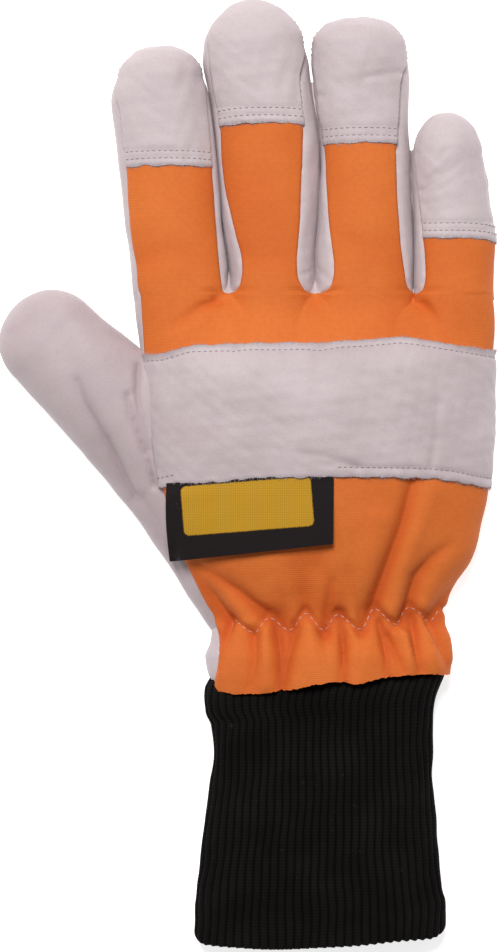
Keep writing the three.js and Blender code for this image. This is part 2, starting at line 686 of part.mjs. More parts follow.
// Materials and the finished glove
const finish = (color, roughness) => new THREE.MeshStandardMaterial({ color, roughness, metalness: 0 });
const leather = finish(0xc9bcbd, 0.6);
const fabric = finish(0xe2743a, 0.8);
const knit = finish(0x17110f, 0.95);
const woven = finish(0x1c1516, 0.7);

const glove = new THREE.Group();

function geometryOf(solid) {
  const { vertProperties, triVerts, numProp, numVert } = solid.getMesh();
  const positions = new Float32Array(numVert * 3);
  for (let i = 0; i < numVert; i++) {
    positions.set(vertProperties.subarray(i * numProp, i * numProp + 3), i * 3);
  }
  const geometry = new THREE.BufferGeometry();
  geometry.setAttribute("position", new THREE.BufferAttribute(positions, 3));
  geometry.setIndex(new THREE.BufferAttribute(triVerts, 1));
  return geometry;
}

// A panel's largest body, without the slivers and hair-thin bridges that cutting can leave.
function cleaned(solid) {
  const merged = mergeVertices(geometryOf(largestBody(solid.simplify(cutTolerance))), mergeDistance);
  const vertProperties = merged.attributes.position.array;
  const triVerts = new Uint32Array(merged.index.array);
  return largestBody(new wasm.Manifold(new wasm.Mesh({ numProp: 3, vertProperties, triVerts })));
}

function addPiece(name, solid, material) {
  const geometry = geometryOf(cleaned(solid));
  geometry.computeVertexNormals();
  const mesh = new THREE.Mesh(geometry, material);
  mesh.name = name;
  glove.add(mesh);
}

addPiece("palm_panel", palm, leather);
addPiece("back_panel", backPanel, fabric);
addPiece("thumb", thumb, leather);
crotches.forEach((crotch, k) => addPiece("gusset_" + crotch.name, gussets[k], leather));
fingers.forEach((f, k) => addPiece("fingertip_cap_" + f.name, caps[k], leather));
addPiece("knuckle_band", knuckleBand(), leather);
addPiece("label", labelSolid(), woven);
addPiece("knit_cuff", knitCuff(), knit);

const box = new THREE.Box3().setFromObject(glove);
const middle = box.getCenter(new THREE.Vector3());
glove.position.set(-middle.x, -middle.y, -box.min.z);

export default glove;
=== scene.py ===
import math

import bpy
import numpy as np
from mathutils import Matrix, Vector


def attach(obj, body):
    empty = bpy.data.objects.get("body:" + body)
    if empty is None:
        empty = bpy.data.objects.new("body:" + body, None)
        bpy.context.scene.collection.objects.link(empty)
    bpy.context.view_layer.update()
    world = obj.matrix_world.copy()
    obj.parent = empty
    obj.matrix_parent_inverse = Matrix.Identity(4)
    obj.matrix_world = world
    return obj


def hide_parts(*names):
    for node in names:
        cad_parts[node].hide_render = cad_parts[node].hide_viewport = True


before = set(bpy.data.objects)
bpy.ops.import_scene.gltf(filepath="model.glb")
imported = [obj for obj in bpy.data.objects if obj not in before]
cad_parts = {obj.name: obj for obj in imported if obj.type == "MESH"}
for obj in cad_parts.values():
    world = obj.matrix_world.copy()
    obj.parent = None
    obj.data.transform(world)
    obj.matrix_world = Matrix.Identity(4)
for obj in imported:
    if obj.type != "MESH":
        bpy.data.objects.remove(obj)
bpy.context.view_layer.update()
print("frame loaded:", len(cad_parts), "nodes")

# Sizes in this file are millimetres, seen from above: x to the little finger, y to the fingertips,
# z away from the palm. Points go to metres where a mesh is made.
mm = 0.001
dice = np.random.default_rng(11)


def mix(a, b, t):
    return a + (b - a) * t


def ease(low, high, value):
    t = np.clip((value - low) / (high - low), 0, 1)
    return t * t * (3 - 2 * t)


def arch(share, squareness):
    return np.maximum(0, 1 - np.abs(share) ** squareness) ** (1 / squareness)


# 1 in the middle of a groove of this width, and fading to 0 beside it
def bell(gap, wide):
    return np.exp(-((gap / wide) ** 2))


# a rounded square's ring at an angle: its place across, from -1 to 1
def ringAcross(angle, squareness):
    cosine = np.cos(angle)
    return -np.sign(cosine) * np.abs(cosine) ** (2 / squareness)


# and its height, with a flattened underside
def ringHeight(angle, height, waist, squareness, fullness=1, pressed=1.07):
    rise = np.abs(np.sin(angle)) ** (2 / squareness)
    floor = waist * (1 - np.minimum(1, pressed * rise) * fullness)
    return np.where(np.sin(angle) < 0, floor, waist + (height - waist) * rise * fullness)


def stacked(x, y, z):
    return np.stack(np.broadcast_arrays(x, y, z), -1)


def unit(vectors):
    return vectors / np.linalg.norm(vectors, axis=-1, keepdims=True)


# the way along a line of points, from 0 at its start
def wayAlong(points):
    return np.concatenate([[0], np.cumsum(np.linalg.norm(np.diff(points, axis=0), axis=1))])


def placeAt(at, way, values):
    return np.array([np.interp(at, way, column) for column in values.T])


def aboveFloor(points):
    points[:, 2] = np.maximum(points[:, 2], 0.02)
    return points


# a smooth line through a table's rows, without overshoot
def smoothTable(rows):
    table = np.array(sorted(rows), float)
    steps, at = table[:, 0], np.linspace(table[0, 0], table[-1, 0], 900)
    gaps = np.diff(steps)
    place = np.clip(np.searchsorted(steps, at) - 1, 0, len(gaps) - 1)
    t = (at - steps[place]) / gaps[place]
    columns = [at]
    for values in table.T[1:]:
        slopes = np.diff(values) / gaps
        product = slopes[:-1] * slopes[1:]
        total = slopes[:-1] + slopes[1:]
        inner = np.where(product > 0, 2 * product / np.where(total == 0, 1, total), 0)
        bends = np.concatenate([[slopes[0]], inner, [slopes[-1]]])
        start, end = values[place], values[place + 1]
        leave, arrive = bends[place] * gaps[place], bends[place + 1] * gaps[place]
        columns.append(
            start * (1 + 2 * t) * (1 - t) ** 2 + end * t * t * (3 - 2 * t)
            + leave * t * (1 - t) ** 2 - arrive * t * t * (1 - t)
        )
    return np.array(columns)


def readTable(table, y, column):
    return np.interp(y, table[0], table[column])


# soft random swells of about this size across, from -1 to 1
def makeSwells(size, count=16):
    directions = dice.normal(size=(count, 3))
    directions /= np.linalg.norm(directions, axis=1)[:, None]
    pitch = 2 * np.pi / (size * dice.uniform(0.7, 1.6, count))
    phase = dice.uniform(0, 2 * np.pi, count)

    def swells(points):
        return np.sin(points @ (directions * pitch[:, None]).T + phase).sum(-1) / math.sqrt(count)

    return swells


broadSwells = makeSwells(34)
leatherSwells = makeSwells(13)
fineSwells = makeSwells(4.5)
edgeSwells = makeSwells(1.7)


# the slack that all layers of the glove share, so that none comes through another
slackDepth = {"broad": 0.24, "narrow": 0.13}


def slack(points):
    flat = points * np.array([1, 1, 0.5])
    return slackDepth["broad"] * broadSwells(flat) + slackDepth["narrow"] * leatherSwells(flat)


deepestPress = 3.9


# how far folds press a place in. A fold is its depth at the start and at the end, its width, its sharpness
# (2 is round and less is a crease), and then the points of its line.
def pressOf(folds, x, y):
    total = np.zeros_like(x)
    for deep, shallow, wide, sharpness, *line in folds:
        parts = len(line) - 1
        nearest, along = np.full_like(x, 1e9), np.zeros_like(x)
        for i in range(parts):
            (ax, ay), (bx, by) = line[i], line[i + 1]
            dx, dy = bx - ax, by - ay
            t = np.clip(((x - ax) * dx + (y - ay) * dy) / (dx * dx + dy * dy), 0, 1)
            gap = np.hypot(x - ax - t * dx, y - ay - t * dy)
            closer = gap < nearest
            nearest, along = np.where(closer, gap, nearest), np.where(closer, (i + t) / parts, along)
        total += mix(deep, shallow, along) * np.exp(-((nearest / wide) ** sharpness))
    return np.where(total > 0, deepestPress * np.tanh(total / deepestPress), total)


# the glove's plain form
# hand: y, left side, right side, height
handRows = [
    (-74.2, -10.7, 62.6, 21.5), (-70.3, -12.3, 63.6, 22.6), (-65.0, -14.5, 66.2, 23.0),
    (-60.4, -14.9, 67.2, 23.2), (-54.5, -13.0, 66.7, 21.8), (-48.5, -12.3, 64.9, 20.6),
    (-41.2, -16.3, 66.2, 22.4), (-34.6, -19.9, 68.9, 24.6), (-28.1, -23.5, 72.8, 26.8),
    (-21.4, -26.5, 75.1, 28.6), (-14.9, -28.8, 76.5, 30.0), (-8.2, -30.8, 77.9, 31.0),
    (-1.7, -32.4, 78.7, 31.8), (5.0, -33.6, 79.2, 32.4), (11.6, -34.4, 79.5, 32.6),
    (24.8, -35.4, 80.1, 32.2), (38.0, -36.1, 80.4, 30.4), (47.9, -37.1, 80.3, 28.3),
    (57.8, -37.9, 80.0, 25.2), (62.4, -38.0, 80.4, 23.2), (67.7, -38.4, 80.4, 21.4),
]
handLine = smoothTable(handRows)
handShape = {"waist": 0.38, "topSquareness": 2.3, "floorSquareness": 2.8}

# fingers: y, left side, right side up to where the tip starts to round
fingerRows = {
    "index": [
        (47.9, -37.7, -6.4), (57.8, -37.9, -6.4), (67.0, -38.5, -6.4), (72.9, -39.0, -7.0),
        (82.5, -40.5, -8.5), (90.8, -41.3, -9.0), (102.3, -42.8, -10.0), (110.6, -43.7, -10.8),
        (117.2, -44.6, -11.6), (123.8, -45.1, -12.6), (127.7, -44.5, -13.5), (131.0, -43.2, -15.1),
    ],
    "middle": [
        (47.9, -6.4, 22.0), (67.3, -6.4, 22.0), (72.9, -7.0, 22.0), (77.2, -7.7, 22.3), (85.1, -8.7, 23.0),
        (90.8, -9.0, 23.3), (102.3, -10.0, 23.8), (108.9, -10.7, 23.7), (113.9, -11.2, 23.0),
        (118.8, -11.8, 22.2), (123.8, -12.6, 21.4), (130.3, -13.8, 20.7), (136.3, -14.6, 20.0),
        (141.9, -14.5, 18.5),
    ],
    "ring": [
        (47.9, 22.0, 54.4), (67.3, 22.0, 54.5), (72.3, 22.0, 54.7), (77.2, 22.3, 54.7), (85.1, 23.0, 54.4),
        (97.4, 23.8, 53.9), (107.2, 24.0, 53.7), (113.9, 23.7, 53.5), (118.8, 23.0, 53.5),
        (123.8, 22.3, 53.4), (130.3, 21.4, 53.2), (135.3, 20.7, 53.0), (141.6, 20.9, 52.4),
    ],
    "little": [
        (47.9, 54.4, 80.8), (61.4, 54.4, 80.4), (70.3, 54.7, 80.8), (75.2, 54.7, 81.1), (84.2, 54.4, 80.1),
        (90.8, 54.0, 79.3), (97.4, 53.7, 78.8), (102.3, 53.7, 77.9), (106.3, 54.2, 77.1),
    ],
}
fingerTips = {
    "index": {"tip": 140.4, "squareness": 2.1, "lean": 0.6},
    "middle": {"tip": 155.8, "squareness": 1.9, "lean": -0.3},
    "ring": {"tip": 150.2, "squareness": 2.1, "lean": -0.6},
    "little": {"tip": 118.4, "squareness": 2.05, "lean": -0.6},
}
fingerNames = list(fingerRows)
fingerLines = {name: smoothTable(rows) for name, rows in fingerRows.items()}
fingerShape = {
    "height": 22.0, "fall": 0.034, "root": 62.4, "waist": 0.45, "squareness": 2.3, "tipRoundness": 2.3,
}
slitStart = {"index": 67.3, "middle": 67.7, "ring": 61.7}


def fingerSection(name, y):
    line, tip = fingerLines[name], fingerTips[name]
    start = line[0][-1]
    left, right = readTable(line, y, 1), readTable(line, y, 2)
    beyond = np.clip((y - start) / (tip["tip"] - start), 0, 1)
    middle = (left + right) / 2 + tip["lean"] * beyond**2
    height = fingerShape["height"] - fingerShape["fall"] * np.maximum(0, y - fingerShape["root"])
    half = (right - left) / 2 * arch(beyond, tip["squareness"])
    return middle, half, height, arch(beyond, fingerShape["tipRoundness"])


def fingerHeight(name, x, y):
    middle, half, height, fullness = fingerSection(name, y)
    waist = height * fingerShape["waist"]
    rise = arch(np.clip((x - middle) / np.maximum(half, 0.01), -1, 1), fingerShape["squareness"])
    return waist + (height - waist) * rise * fullness


def handHeight(x, y):
    left, right, height = (readTable(handLine, y, c) for c in (1, 2, 3))
    share = np.clip((2 * x - left - right) / (right - left), -1, 1)
    waist = handShape["waist"] * height
    return waist + (height - waist) * arch(share, handShape["topSquareness"])


# how much of the fingers' own roundness the back of the hand has taken
def fingerShare(y):
    return ease(34, 60, y)


# the glove's upper surface, with a bowl of leather that opens into a slit at each finger crotch
bowl = {
    "height": 21.4, "crown": 0.035, "reach": 9, "deep": 9.0, "from": 43, "wide": 7.5, "narrow": 3.7,
    "steepness": 1.7, "opens": (-0.6, 1.2), "bed": 9.0,
}


def backHeight(x, y):
    tops = np.full(np.broadcast(x, y).shape, bowl["bed"])
    for name in fingerNames:
        middle, half, _, fullness = fingerSection(name, y)
        inside = (np.abs(x - middle) <= half * 1.001) & (fullness > 0)
        tops = np.maximum(tops, np.where(inside, fingerHeight(name, x, y), 0))
    for name in fingerNames[:-1]:
        gap = x - readTable(fingerLines[name], y, 2)
        grown = ease(bowl["from"], slitStart[name] + 1, y) ** bowl["steepness"]
        opened = ease(*(slitStart[name] + shift for shift in bowl["opens"]), y)
        dent = bowl["deep"] * grown * bell(gap, mix(bowl["wide"], bowl["narrow"], grown))
        floor = bowl["height"] - bowl["crown"] * gap**2 - dent
        tops = np.maximum(tops, np.where(np.abs(gap) < bowl["reach"], floor * (1 - opened), 0))
    return mix(handHeight(x, y), tops, fingerShare(y))


# a ring round the hand: angle 0 is its left side, pi its right side and more is underneath
def handPoint(angle, y):
    left, right, height = (readTable(handLine, y, c) for c in (1, 2, 3))
    under = np.sin(angle) < 0
    squareness = np.where(under, handShape["floorSquareness"], handShape["topSquareness"])
    x = (left + right) / 2 + (right - left) / 2 * ringAcross(angle, squareness)
    waist = mix(handShape["waist"] * height, fingerShape["height"] * fingerShape["waist"], fingerShare(y))
    floor = ringHeight(angle, height, waist, handShape["floorSquareness"])
    return stacked(x, y, np.where(under, floor, np.maximum(backHeight(x, y), waist)))


def fingerPoint(name, angle, y):
    middle, half, height, fullness = fingerSection(name, y)
    x = middle + half * ringAcross(angle, fingerShape["squareness"])
    waist = height * fingerShape["waist"]
    return stacked(x, y + 0 * x, ringHeight(angle, height, waist, fingerShape["squareness"], fullness))


def onFinger(name):
    return lambda angle, y: fingerPoint(name, angle, y)


def backPoint(x, y):
    return stacked(x, y, backHeight(x, y))


# points of a surface, raised along its own outward direction
def raised(surface, first, second, lift):
    stepFirst, stepSecond, nothing = 0.004, 0.05, 1e-7
    alongFirst = surface(first + stepFirst, second) - surface(first - stepFirst, second)
    alongSecond = surface(first, second + stepSecond) - surface(first, second - stepSecond)
    outwards = np.cross(alongFirst, alongSecond)
    size = np.linalg.norm(outwards, axis=-1, keepdims=True)
    outwards = np.where(size < nothing, np.array([0.0, 0.0, 1.0]), outwards / np.maximum(size, 1e-9))
    return surface(first, second) + outwards * np.asarray(lift)[..., None], outwards


# making pieces
def deselect():
    if bpy.context.object and bpy.context.object.mode != "OBJECT":
        bpy.ops.object.mode_set(mode="OBJECT")
    bpy.ops.object.select_all(action="DESELECT")


def useOnly(piece):
    deselect()
    piece.select_set(True)
    bpy.context.view_layer.objects.active = piece


# gives a sheet its wall, inwards
def thicken(piece, wall):
    useOnly(piece)
    modifier = piece.modifiers.new("Wall", "SOLIDIFY")
    modifier.thickness, modifier.offset = wall * mm, -1
    bpy.ops.object.modifier_apply(modifier=modifier.name)


def meshPoints(piece):
    points = np.empty(len(piece.data.vertices) * 3)
    piece.data.vertices.foreach_get("co", points)
    return points.reshape(-1, 3)


# a sheet of columns x rows, each point put in its place by a function of across and along, both 0 to 1
def shapedSheet(name, columns, rows, place):
    deselect()
    bpy.ops.mesh.primitive_grid_add(x_subdivisions=columns, y_subdivisions=rows, size=2, location=(0, 0, 0))
    piece = bpy.context.object
    piece.name = piece.data.name = name
    flat = meshPoints(piece)
    points = place((flat[:, 0] + 1) / 2, (flat[:, 1] + 1) / 2)
    piece.data.vertices.foreach_set("co", (points * mm).ravel())
    piece.data.update()
    return piece


def onWholeMesh(piece, change, **settings):
    useOnly(piece)
    bpy.ops.object.mode_set(mode="EDIT")
    bpy.ops.mesh.select_all(action="SELECT")
    change(**settings)
    bpy.ops.object.mode_set(mode="OBJECT")


def weld(piece, distance):
    onWholeMesh(piece, bpy.ops.mesh.remove_doubles, threshold=distance)


def faceOut(piece):
    onWholeMesh(piece, bpy.ops.mesh.normals_make_consistent, inside=False)


def join(pieces, name):
    useOnly(pieces[0])
    for piece in pieces:
        piece.select_set(True)
    bpy.ops.object.join()
    pieces[0].name = pieces[0].data.name = name
    return pieces[0]


def finishPiece(piece, material, nodes, angle=50):
    piece.data.materials.clear()
    piece.data.materials.append(material)
    useOnly(piece)
    bpy.ops.object.shade_smooth_by_angle(angle=math.radians(angle))
    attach(piece, "root")
    if nodes:
        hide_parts(*nodes)
    return piece


# notes on each point how deep it lies in a fold, for the painted shade that darkens the finishes in the
# creases
def markFoldShade(piece, folds, deepest):
    shade = piece.data.attributes.new("fold", "FLOAT", "POINT")
    points = meshPoints(piece) / mm
    press = np.maximum(0, pressOf(folds, points[:, 0], points[:, 1]))
    shade.data.foreach_set("value", press / deepest * ease(4, 9, points[:, 2]))


# finishes
# a material, with short ways to make its nodes
class Finish:
    def __init__(self, name):
        self.material = bpy.data.materials.new(name)
        self.material.use_nodes = True
        self.nodes, self.links = self.material.node_tree.nodes, self.material.node_tree.links
        self.shader = self.nodes["Principled BSDF"]
        self.place = self.nodes.new("ShaderNodeTexCoord").outputs["Object"]

    def node(self, kind, settings, **attributes):
        made = self.nodes.new("ShaderNode" + kind)
        for key, value in attributes.items():
            setattr(made, key, value)
        for key, value in settings.items():
            self.feed(made.inputs[key], value)
        return made

    def feed(self, socket, value):
        if isinstance(value, (int, float)):
            socket.default_value = value
        elif isinstance(value, tuple):
            socket.default_value = (*value, 1) if socket.type == "RGBA" else value
        elif value is not None:
            self.links.new(value, socket)

    def math(self, operation, first, second=None):
        return self.node("Math", {0: first, 1: second}, operation=operation).outputs[0]

    def mix(self, factor, first, second, blend="MIX"):
        settings = {0: factor, 6: first, 7: second}
        return self.node("Mix", settings, data_type="RGBA", blend_type=blend).outputs[2]

    def noise(self, scale, detail=2.0, rough=0.5):
        settings = {"Vector": self.place, "Scale": scale, "Detail": detail, "Roughness": rough}
        return self.node("TexNoise", settings).outputs["Fac"]

    def wave(self, direction, scale, distortion, settings={}):
        settings = {"Vector": self.place, "Scale": scale, "Distortion": distortion, **settings}
        return self.node("TexWave", settings, wave_type="BANDS", bands_direction=direction).outputs["Fac"]

    def ramp(self, value, stops):
        made = self.node("ValToRGB", {"Fac": value})
        ramp = made.color_ramp
        while len(ramp.elements) < len(stops):
            ramp.elements.new(0.5)
        for element, (position, colour) in zip(ramp.elements, stops):
            element.position, element.color = position, (*colour, 1)
        return made.outputs["Color"]

    # a vector's parts, by default those of the piece's own map
    def parts(self, vector=None):
        return self.node("SeparateXYZ", {0: vector or self.node("UVMap", {}).outputs["UV"]}).outputs

    # puts the colour, the settings and the bumps, each a height, a strength and a distance, on the surface
    def done(self, colour, settings, bumps):
        for key, value in {"Base Color": colour, **settings}.items():
            self.feed(self.shader.inputs[key], value)
        last = None
        for height, strength, distance in bumps:
            inputs = {"Height": height, "Strength": strength, "Distance": distance, "Normal": last}
            last = self.node("Bump", inputs).outputs["Normal"]
        self.links.new(last, self.shader.inputs["Normal"])
        return self.material


black, white = (0, 0, 0), (1, 1, 1)


# darkens a colour by how deep it lies in a fold: painted shade in the creases
def paintFoldShade(finish, look, colour):
    fold = finish.ramp(finish.node("Attribute", {}, attribute_name="fold").outputs["Fac"], look["folds"])
    return finish.mix(1.0, colour, fold, "MULTIPLY")


# a cut edge's napped, darker leather, where the piece's own map starts or ends
def rawEdge(finish, look, colour):
    fromFoot = finish.parts()["Y"]
    nearest = finish.math("MINIMUM", fromFoot, finish.math("SUBTRACT", look["rawEnd"], fromFoot))
    nap = finish.math("MULTIPLY", finish.noise(1500, 3, 0.7), look["rawReach"] * 1.3)
    reach = finish.math("DIVIDE", finish.math("ADD", nearest, nap), look["rawReach"] * 1.9)
    mask = finish.ramp(reach, [(0.35, white), (0.9, black)])
    tone = finish.ramp(finish.noise(2300), [(0.35, look["raw"]), (0.68, look["dull"])])
    return finish.mix(mask, colour, tone)


leatherLook = {
    "light": (0.565, 0.48, 0.49), "plain": (0.535, 0.45, 0.465), "dull": (0.495, 0.41, 0.425),
    "roughness": (0.52, 0.66), "grain": 1150, "creases": 260, "clouds": 42, "specks": 900, "sheen": 0.1,
    "raw": (0.26, 0.225, 0.235), "rawReach": 0.0,
}


def leatherMaterial(name, changes={}):
    finish, look = Finish(name), {**leatherLook, **changes}
    clouds = finish.noise(look["clouds"], 3)
    patches = finish.ramp(clouds, [(0.3, look["dull"]), (0.5, look["plain"]), (0.72, look["light"])])
    specks = finish.ramp(finish.noise(look["specks"]), [(0.3, (0.9, 0.88, 0.88)), (0.6, white)])
    colour = finish.mix(0.4, patches, specks, "MULTIPLY")
    if look["rawReach"]:
        colour = rawEdge(finish, look, colour)
    # where the look has a folds ramp, painted shade darkens the creases
    if "folds" in look:
        colour = paintFoldShade(finish, look, colour)
    inputs = {"Vector": finish.place, "Scale": look["grain"]}
    cells = finish.node("TexVoronoi", inputs, feature="DISTANCE_TO_EDGE")
    grain = finish.ramp(cells.outputs["Distance"], [(0.0, black), (0.18, white)])
    smooth, rough = look["roughness"]
    rough = finish.node("MapRange", {"Value": clouds, "To Min": smooth, "To Max": rough}).outputs["Result"]
    settings = {
        "Roughness": rough, "Sheen Weight": look["sheen"], "Sheen Roughness": 0.5, "Specular IOR Level": 0.38,
    }
    soft = finish.noise(look["creases"], 5, 0.6)
    return finish.done(colour, settings, [(soft, 0.28, 0.0005), (grain, 0.2, 0.00012)])


fabricLook = {
    "light": (0.69, 0.172, 0.032), "plain": (0.66, 0.154, 0.0265), "deep": (0.62, 0.130, 0.0225),
    # folds: a ramp of painted shade in the creases, darker and redder the deeper the fold
    "folds": [
        (0.0, (1, 1, 1)), (0.3, (0.96, 0.84, 0.76)), (0.62, (0.86, 0.66, 0.56)), (1.0, (0.68, 0.42, 0.36)),
    ],
    "threads": 470, "clouds": 30, "slubs": 700, "lumps": 160, "sheen": 0.075,
}


def fabricMaterial(name, look):
    finish = Finish(name)
    tones = [(0.25, look["deep"]), (0.5, look["plain"]), (0.75, look["light"])]
    patches = finish.ramp(finish.noise(look["clouds"], 3), tones)
    weft = finish.wave("Y", look["threads"], 1.2, {"Detail": 1.0, "Detail Scale": 1.5})
    warp = finish.wave("X", look["threads"] * 1.15, 0.8)
    threads = finish.math("ADD", finish.math("MULTIPLY", weft, warp), weft)
    tone = finish.ramp(threads, [(0.1, (0.88, 0.83, 0.8)), (0.9, white)])
    colour = finish.mix(0.42, patches, tone, "MULTIPLY")
    slubs = finish.ramp(finish.noise(look["slubs"], 1), [(0.35, (0.93, 0.9, 0.88)), (0.65, white)])
    # painted shade in the creases, from the folds ramp
    colour = paintFoldShade(finish, look, finish.mix(0.6, colour, slubs, "MULTIPLY"))
    settings = {
        "Roughness": 0.78, "Sheen Weight": look["sheen"], "Sheen Roughness": 0.4,
        "Sheen Tint": (1.0, 0.6, 0.35), "Specular IOR Level": 0.25,
    }
    lumps = finish.noise(look["lumps"], 3)
    return finish.done(colour, settings, [(lumps, 0.25, 0.0007), (threads, 0.22, 0.00015)])


knitLook = {
    "yarn": (0.0042, 0.0031, 0.0028), "worn": (0.0088, 0.0068, 0.0064), "courses": 132, "ribs": 64,
    "slant": 2.2,
}


def knitMaterial(name, look):
    finish = Finish(name)
    across, along = (finish.parts()[axis] for axis in "XY")

    def ridges(turn):
        return finish.math("ABSOLUTE", finish.math("SINE", turn))

    turn = finish.math("MULTIPLY", across, math.pi * look["ribs"])
    rib, wale = ridges(turn), ridges(finish.math("MULTIPLY", turn, 2.0))
    climb = finish.math("MULTIPLY", along, 2 * math.pi * look["courses"])
    loops = finish.math("SINE", finish.math("ADD", climb, finish.math("MULTIPLY", wale, look["slant"])))
    patches = finish.ramp(finish.noise(60, 4), [(0.35, look["yarn"]), (0.75, look["worn"])])
    # painted shade: the knit darkened down in the grooves between its ribs
    ribGrooveShade = finish.ramp(rib, [(0.1, (0.25, 0.25, 0.25)), (0.75, white)])
    lint = finish.ramp(finish.noise(480, 1), [(0.74, black), (0.82, (0.02, 0.02, 0.02))])
    colour = finish.mix(0.4, finish.mix(0.9, patches, ribGrooveShade, "MULTIPLY"), lint, "ADD")
    settings = {"Roughness": 0.92, "Sheen Weight": 0.01, "Sheen Roughness": 0.45, "Specular IOR Level": 0.1}
    fuzz = finish.noise(2200)
    return finish.done(colour, settings, [(rib, 0.5, 0.0005), (loops, 0.35, 0.00025), (fuzz, 0.3, 0.0002)])


labelLook = {
    "ground": (0.010, 0.0055, 0.006), "field": (0.58, 0.31, 0.018), "threads": 560,
    "fieldMiddle": (-0.3, -10.2), "fieldSize": (42.7, 16.2), "turn": 4.6, "corner": 0.0018, "stray": 0.0004,
    "edgeSharpness": 1500.0,
}


def labelMaterial(name, look):
    finish = Finish(name)
    turn = (0, 0, math.radians(look["turn"]))
    middle = tuple(place * mm for place in (*look["fieldMiddle"], 0))
    settings = {"Vector": finish.place, "Location": middle, "Rotation": turn}
    parts = finish.parts(finish.node("Mapping", settings, vector_type="TEXTURE").outputs["Vector"])
    # how far a point is inside the field's rounded rectangle
    squares = []
    for axis, size in zip("XY", look["fieldSize"]):
        gap = finish.math("SUBTRACT", size * mm / 2, finish.math("ABSOLUTE", parts[axis]))
        over = finish.math("MAXIMUM", finish.math("SUBTRACT", look["corner"], gap), 0.0)
        squares.append(finish.math("MULTIPLY", over, over))
    outside = finish.math("SQRT", finish.math("ADD", *squares))
    stray = finish.math("MULTIPLY", finish.noise(1400, 1), look["stray"])
    inside = finish.math("ADD", finish.math("SUBTRACT", look["corner"], outside), stray)
    mask = finish.ramp(finish.math("MULTIPLY", inside, look["edgeSharpness"]), [(0.0, black), (0.6, white)])
    weft, warp = finish.wave("Y", look["threads"], 0.6), finish.wave("X", look["threads"] * 0.8, 0.6)
    threads = finish.math("MULTIPLY", weft, warp)
    dust = finish.ramp(finish.noise(330), [(0.7, black), (0.8, (0.05, 0.045, 0.045))])
    colour = finish.mix(mask, finish.mix(0.7, look["ground"], dust, "ADD"), look["field"])
    tone = finish.ramp(threads, [(0.0, (0.62, 0.6, 0.58)), (0.8, white)])
    colour = finish.mix(0.7, colour, tone, "MULTIPLY")
    settings = {"Roughness": 0.75, "Sheen Weight": 0.02, "Specular IOR Level": 0.2}
    return finish.done(colour, settings, [(mask, 0.4, 0.0003), (threads, 0.35, 0.00015)])


def threadMaterial(name, colour):
    finish = Finish(name)
    twist = finish.noise(2600)
    tone = finish.ramp(twist, [(0.3, tuple(c * 0.7 for c in colour)), (0.7, colour)])
    return finish.done(tone, {"Roughness": 0.6, "Sheen Weight": 0.1}, [(twist, 0.5, 0.0002)])


palmLeather = leatherMaterial("palmLeather")
# the thumb's leather: a darker copy of the palm's as painted shade where the thumb gets less light, with
# painted shade in its creases from the folds ramp
thumbLeatherPaintedShade = leatherMaterial("thumbLeatherPaintedShade", {
    "light": (0.505, 0.413, 0.428), "plain": (0.49, 0.399, 0.414), "dull": (0.45, 0.364, 0.38),
    "folds": [(0.0, (1, 1, 1)), (0.45, (0.93, 0.91, 0.92)), (1.0, (0.74, 0.70, 0.72))],
})
capLeather = leatherMaterial("capLeather", {"grain": 1000, "creases": 220, "rawReach": 0.027, "rawEnd": 9})
bandLeather = leatherMaterial("bandLeather", {
    "light": (0.54, 0.455, 0.47), "plain": (0.505, 0.42, 0.435), "dull": (0.465, 0.38, 0.395),
    "grain": 900, "creases": 180, "rawReach": 0.024, "rawEnd": 1.0,
})
orangeFabric = fabricMaterial("orangeFabric", fabricLook)
blackKnit = knitMaterial("blackKnit", knitLook)
wovenLabel = labelMaterial("wovenLabel", labelLook)
greyThread = threadMaterial("greyThread", (0.29, 0.24, 0.25))
rawNap = threadMaterial("rawNap", (0.50, 0.43, 0.445))
seamThread = threadMaterial("seamThread", (0.20, 0.165, 0.175))
paleThread = threadMaterial("paleThread", (0.74, 0.47, 0.43))
print("finishes made")

# the fabric's sides on each finger: y, left, right
fabricRows = {
    "index": [
        (57.8, -35.7, -6.7), (59.5, -35.8, -6.7), (59.9, -35.9, -7.4), (60.7, -36.0, -8.1),
        (63.4, -36.3, -8.6), (68.0, -37.0, -9.0), (77.5, -38.4, -9.8), (84.2, -39.0, -10.5),
        (90.8, -39.6, -11.0), (100.3, -40.1, -11.8), (104.6, -40.4, -12.0),
    ],
    "middle": [
        (57.8, -6.7, 22.0), (59.5, -6.7, 22.0), (59.9, -5.8, 20.5), (60.7, -4.4, 18.9), (61.7, -3.5, 18.1),
        (62.5, -2.9, 17.5), (64.4, -2.4, 16.7), (66.7, -2.1, 16.3), (70.3, -2.4, 16.3), (75.9, -3.7, 16.6),
        (83.8, -5.4, 17.1), (95.0, -7.9, 17.6), (107.2, -9.2, 18.1), (113.9, -9.5, 18.2),
        (116.5, -9.7, 17.4), (119.8, -9.7, 16.4),
    ],
    "ring": [
        (57.8, 22.0, 55.7), (59.5, 22.0, 55.7), (59.9, 23.8, 55.0), (60.7, 25.5, 53.9), (61.7, 26.6, 53.0),
        (62.5, 27.2, 52.5), (64.4, 27.7, 52.0), (67.0, 28.1, 51.7), (70.3, 28.0, 51.2), (75.9, 27.3, 50.6),
        (82.5, 26.6, 50.1), (97.0, 25.5, 49.2), (107.2, 24.8, 49.1), (113.2, 24.3, 49.4),
    ],
    "little": [
        (57.8, 55.7, 80.4), (59.5, 55.7, 80.4), (59.9, 56.3, 80.4), (61.1, 57.3, 80.4), (63.4, 58.1, 80.4),
        (66.7, 58.3, 80.4), (72.6, 58.0, 80.8), (77.2, 57.5, 81.1), (82.2, 57.0, 80.4),
    ],
}
fabricLines = {name: smoothTable(rows) for name, rows in fabricRows.items()}


# the fabric's sides on a finger, a little past the leather that turns down beside it
def fabricSides(name, y):
    past = 0.4 * ease(58.5, 62.5, y)
    return readTable(fabricLines[name], y, 1) - past, readTable(fabricLines[name], y, 2) + past


